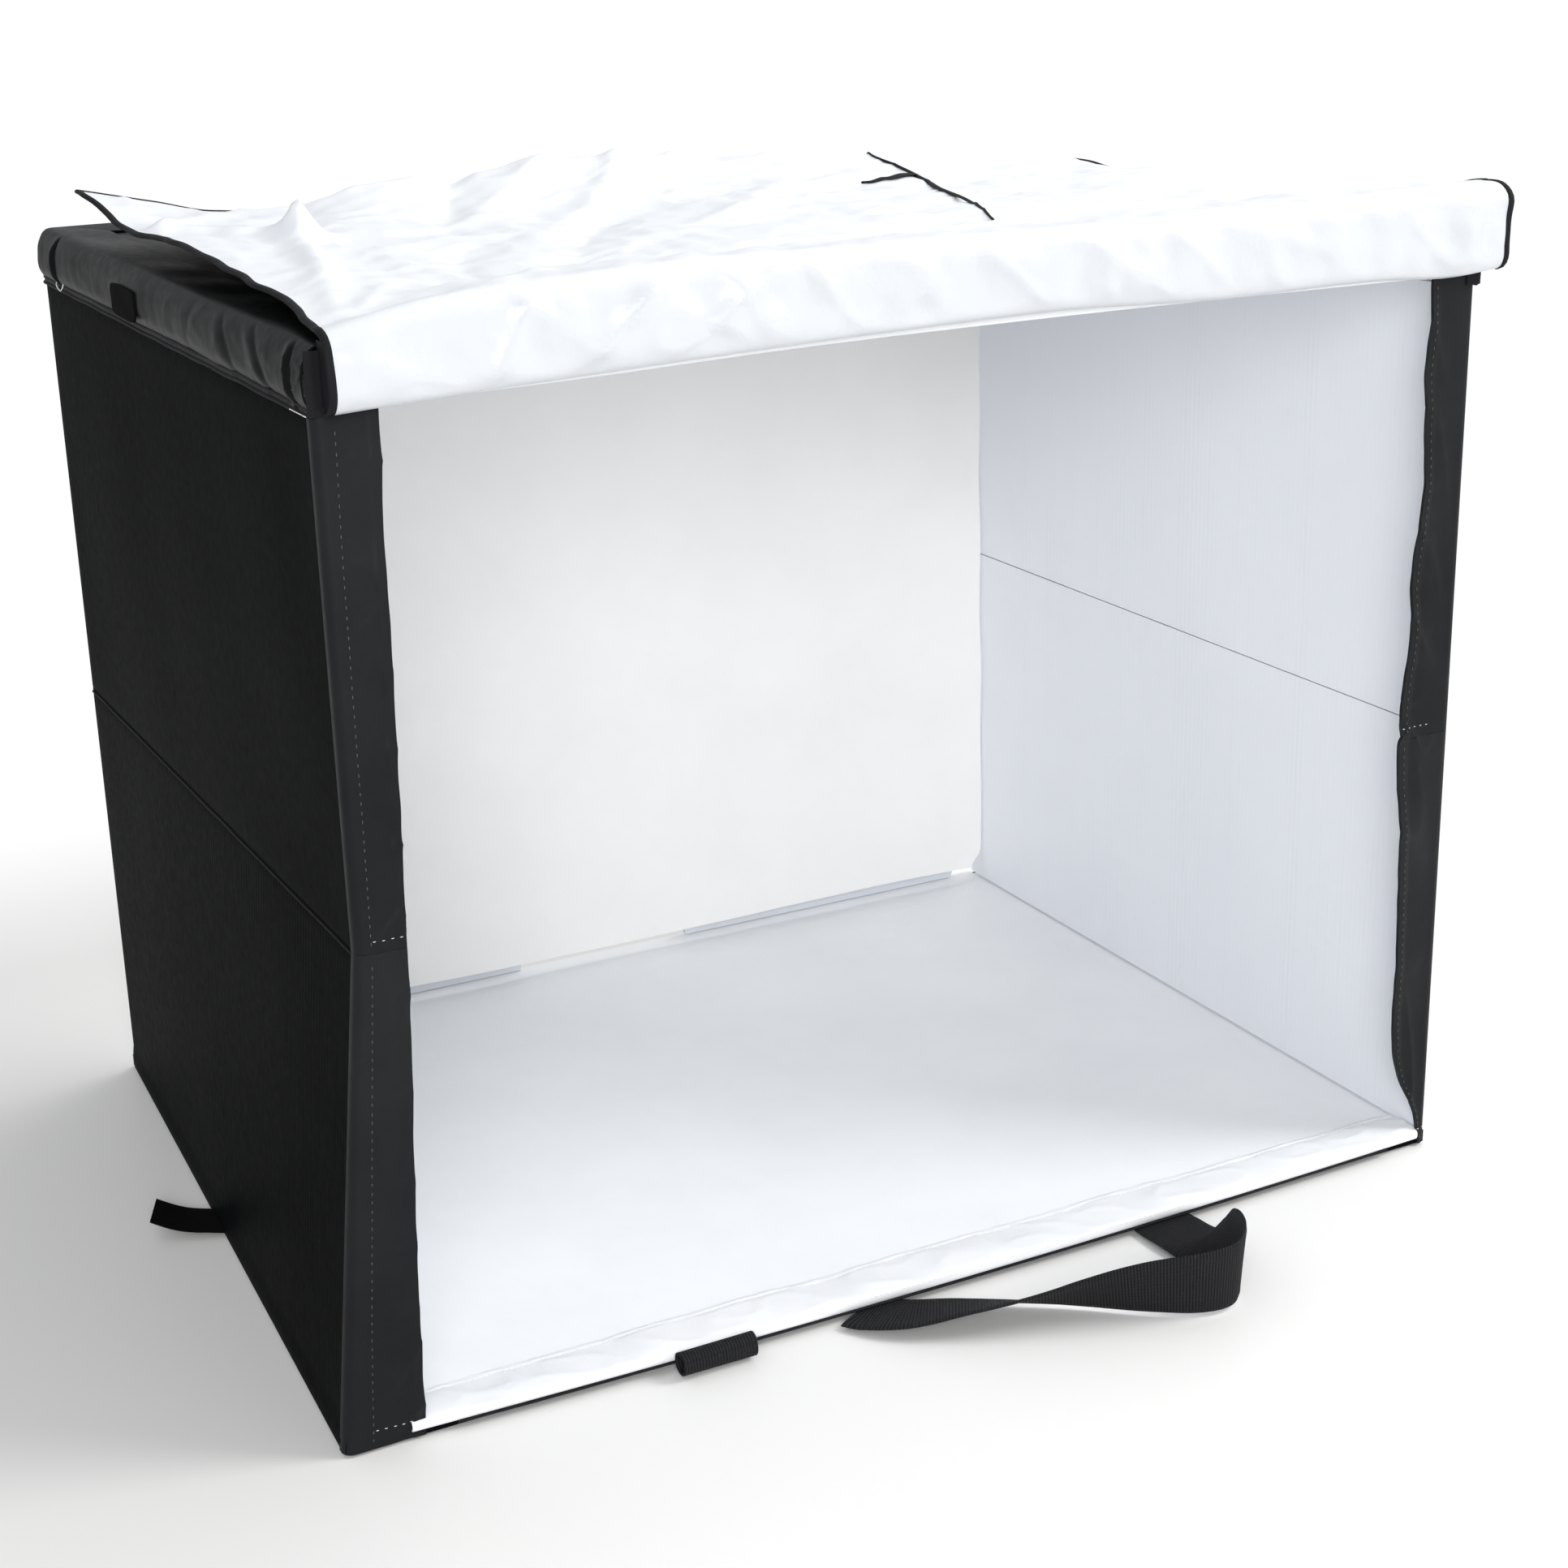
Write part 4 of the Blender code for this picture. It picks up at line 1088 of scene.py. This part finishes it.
def header_cloth():
    """The white cloth drawn round the header board, which the flap hangs from."""
    low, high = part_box("roof_header")
    xs = np.linspace(low[0] + 0.001, high[0] - 0.001, 160)
    bottom = through(xs, [(-0.33, 0.5138), (-0.205, 0.5154), (-0.089, 0.5183), (0.056, 0.5193),
                          (0.259, 0.5181), (0.33, 0.5176)])
    top = high[2] - 0.0006
    path = np.stack([xs, np.full_like(xs, (low[1] + high[1]) / 2 - 0.0004), (bottom + top) / 2], -1)
    profile = oval(1.0, 1.0, 20, 0.35)[None] * np.stack([np.full_like(xs, 0.0048), top - bottom], -1)[:, None]
    piece = sweep("header_cloth", path, profile, (0, 0, 1), [PAD_WHITE])
    place(piece, "roof", "white_lining", "roof_header", "door_seam_tape")


door_flap()
corner_fold()
header_cloth()


# ---- rear curtain
def rear_curtain():
    """The white sheet hung across the back, its side edges hemmed."""
    z_line = np.linspace(CURTAIN_LOW, CURTAIN_TOP, 110)
    share = np.linspace(-1.0, 1.0, 170)
    corner = 0.009 * (1.0 - smooth(0.0, 0.018, z_line - CURTAIN_LOW)) ** 2
    right = CURTAIN_REACH + 0.0036 - corner + 0.0008 * ripple(z_line, 131, 0.11)
    left = CURTAIN_REACH + 0.0034 - corner + 0.0006 * ripple(z_line, 132, 0.12)
    x = share[:, None] * np.where(share[:, None] > 0, right, left)
    z = np.repeat(z_line[None], len(share), axis=0)
    hang = (CURTAIN_TOP - z) / (CURTAIN_TOP - CURTAIN_LOW)
    soft = 0.0012 * waves(x, z * 0.2, 133, 0.2) + 0.0006 * waves(x, z, 134, 0.09)
    y = CURTAIN_Y - 0.0006 - 0.0036 * hang + hang * soft
    y = y - 0.002 * smooth(0.88, 1.0, np.abs(share))[:, None] * ripple(z, 135, 0.1)
    sag = 0.00088 * np.sin((share + 1) / 2 * math.pi * 3)[:, None] * smooth(0.9, 1.0, hang)
    grid = np.stack([x, y, z + sag], -1)
    side_hem = 1.0 - smooth(0.018, 0.024, 1.0 - np.abs(share)[:, None])
    thick = 0.0008 + 0.0006 * side_hem + 0.0005 * (hang > 0.975)
    piece = sheet("curtain", grid, thick, [CURTAIN_WHITE])
    place(piece, "curtain", "curtain_cloth", "rear_curtain")
    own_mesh(piece)


rear_curtain()


# ---- webbing
WEB_W = 0.0378
HANDLE_ROOT = -HALF_D - 0.0066
# x, y, z, heading and tilt in degrees, from one sewn end to the other
HANDLE_ROUTE = [
    (-0.066, HANDLE_ROOT, 0.0016, -90, 0), (-0.062, -0.268, 0.002, -82, 2), (-0.048, -0.282, 0.0044, -62, 7),
    (-0.024, -0.296, 0.0085, -42, 16), (0.006, -0.312, 0.012, -28, 32), (0.034, -0.327, 0.016, -26, 52),
    (0.062, -0.343, 0.0194, -28, 72), (0.088, -0.356, 0.0208, -18, 84), (0.108, -0.357, 0.021, 18, 88),
    (0.122, -0.345, 0.0208, 62, 84), (0.129, -0.325, 0.0185, 84, 66), (0.131, -0.305, 0.0105, 90, 32),
    (0.131, -0.29, 0.0036, 92, 4), (0.13, -0.27, 0.002, 92, 1), (0.13, HANDLE_ROOT, 0.0016, 90, 0),
]


def flat_section(wide, thick):
    """A woven tape's section: flat, with slightly fuller edges."""
    a = np.linspace(-1.0, 1.0, 13)
    high = thick / 2 * (1.0 + 0.25 * np.exp(-((np.abs(a) - 0.9) / 0.06) ** 2))
    high[[0, -1]] = thick * 0.15
    upper = np.stack([a * wide / 2, high], -1)
    lower = np.stack([a[::-1] * wide / 2, -high[::-1]], -1)
    return np.concatenate([lower, upper])


def carry_handle():
    """The webbing handle, lying slack on the table in front of the floor."""
    dense = spaced(catmull(HANDLE_ROUTE, 12), 150)
    heading, tilt = np.radians(dense[:, 3]), np.radians(dense[:, 4])
    normal = np.stack([-np.sin(heading) * np.sin(tilt), np.cos(heading) * np.sin(tilt), np.cos(tilt)], -1)
    piece = sweep("webbing_handle", dense[:, :3], flat_section(WEB_W, 0.0018), normal, [WEBBING])
    place(piece, "handle", "black_webbing", "carry_handle")


def pull_loop():
    """A stub of webbing rolled on itself into a tube, its outer end lying over the inner turn."""
    low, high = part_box("pull_loop")
    mid_y, mid_z = (low[1] + high[1]) / 2 - 0.0028, (low[2] + high[2]) / 2
    turns = np.linspace(0.4 * math.pi, 2.8 * math.pi, 60)
    radius = 0.0054 + 0.0008 * np.linspace(0.0, 1.0, len(turns))
    rows = []
    for t in np.linspace(0.0, 1.0, 22):
        squeeze = 1.0 - 0.1 * t
        x = low[0] + (high[0] - low[0]) * t + 0.0012 * math.sin(3 * t)
        y = mid_y + radius * np.cos(turns) * squeeze
        z = mid_z + radius * np.sin(turns) * (2.0 - squeeze) * 0.93
        rows.append(np.stack([np.full(len(turns), x), y, z], -1))
    piece = sheet("rolled_pull_loop", np.array(rows), 0.0013, [WEBBING])
    place(piece, "pull", "black_webbing", "pull_loop")


def strap():
    """The flat strap out of the left bottom edge, its end curling up a little."""
    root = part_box("closure_strap")[1][0] - 0.0002
    t = np.linspace(0.0, 1.0, 40)
    path = np.stack([root - 0.044 * t, 0.006 + 0.018 * t, 0.0016 + 0.01 * t * t + 0.0006 * np.sin(t * 7)], -1)
    piece = sweep("webbing_strap", path, flat_section(0.0285, 0.0016), (0, 0, 1), [FUZZY])
    place(piece, "strap", "hook_pad", "closure_strap")


carry_handle()
pull_loop()
strap()
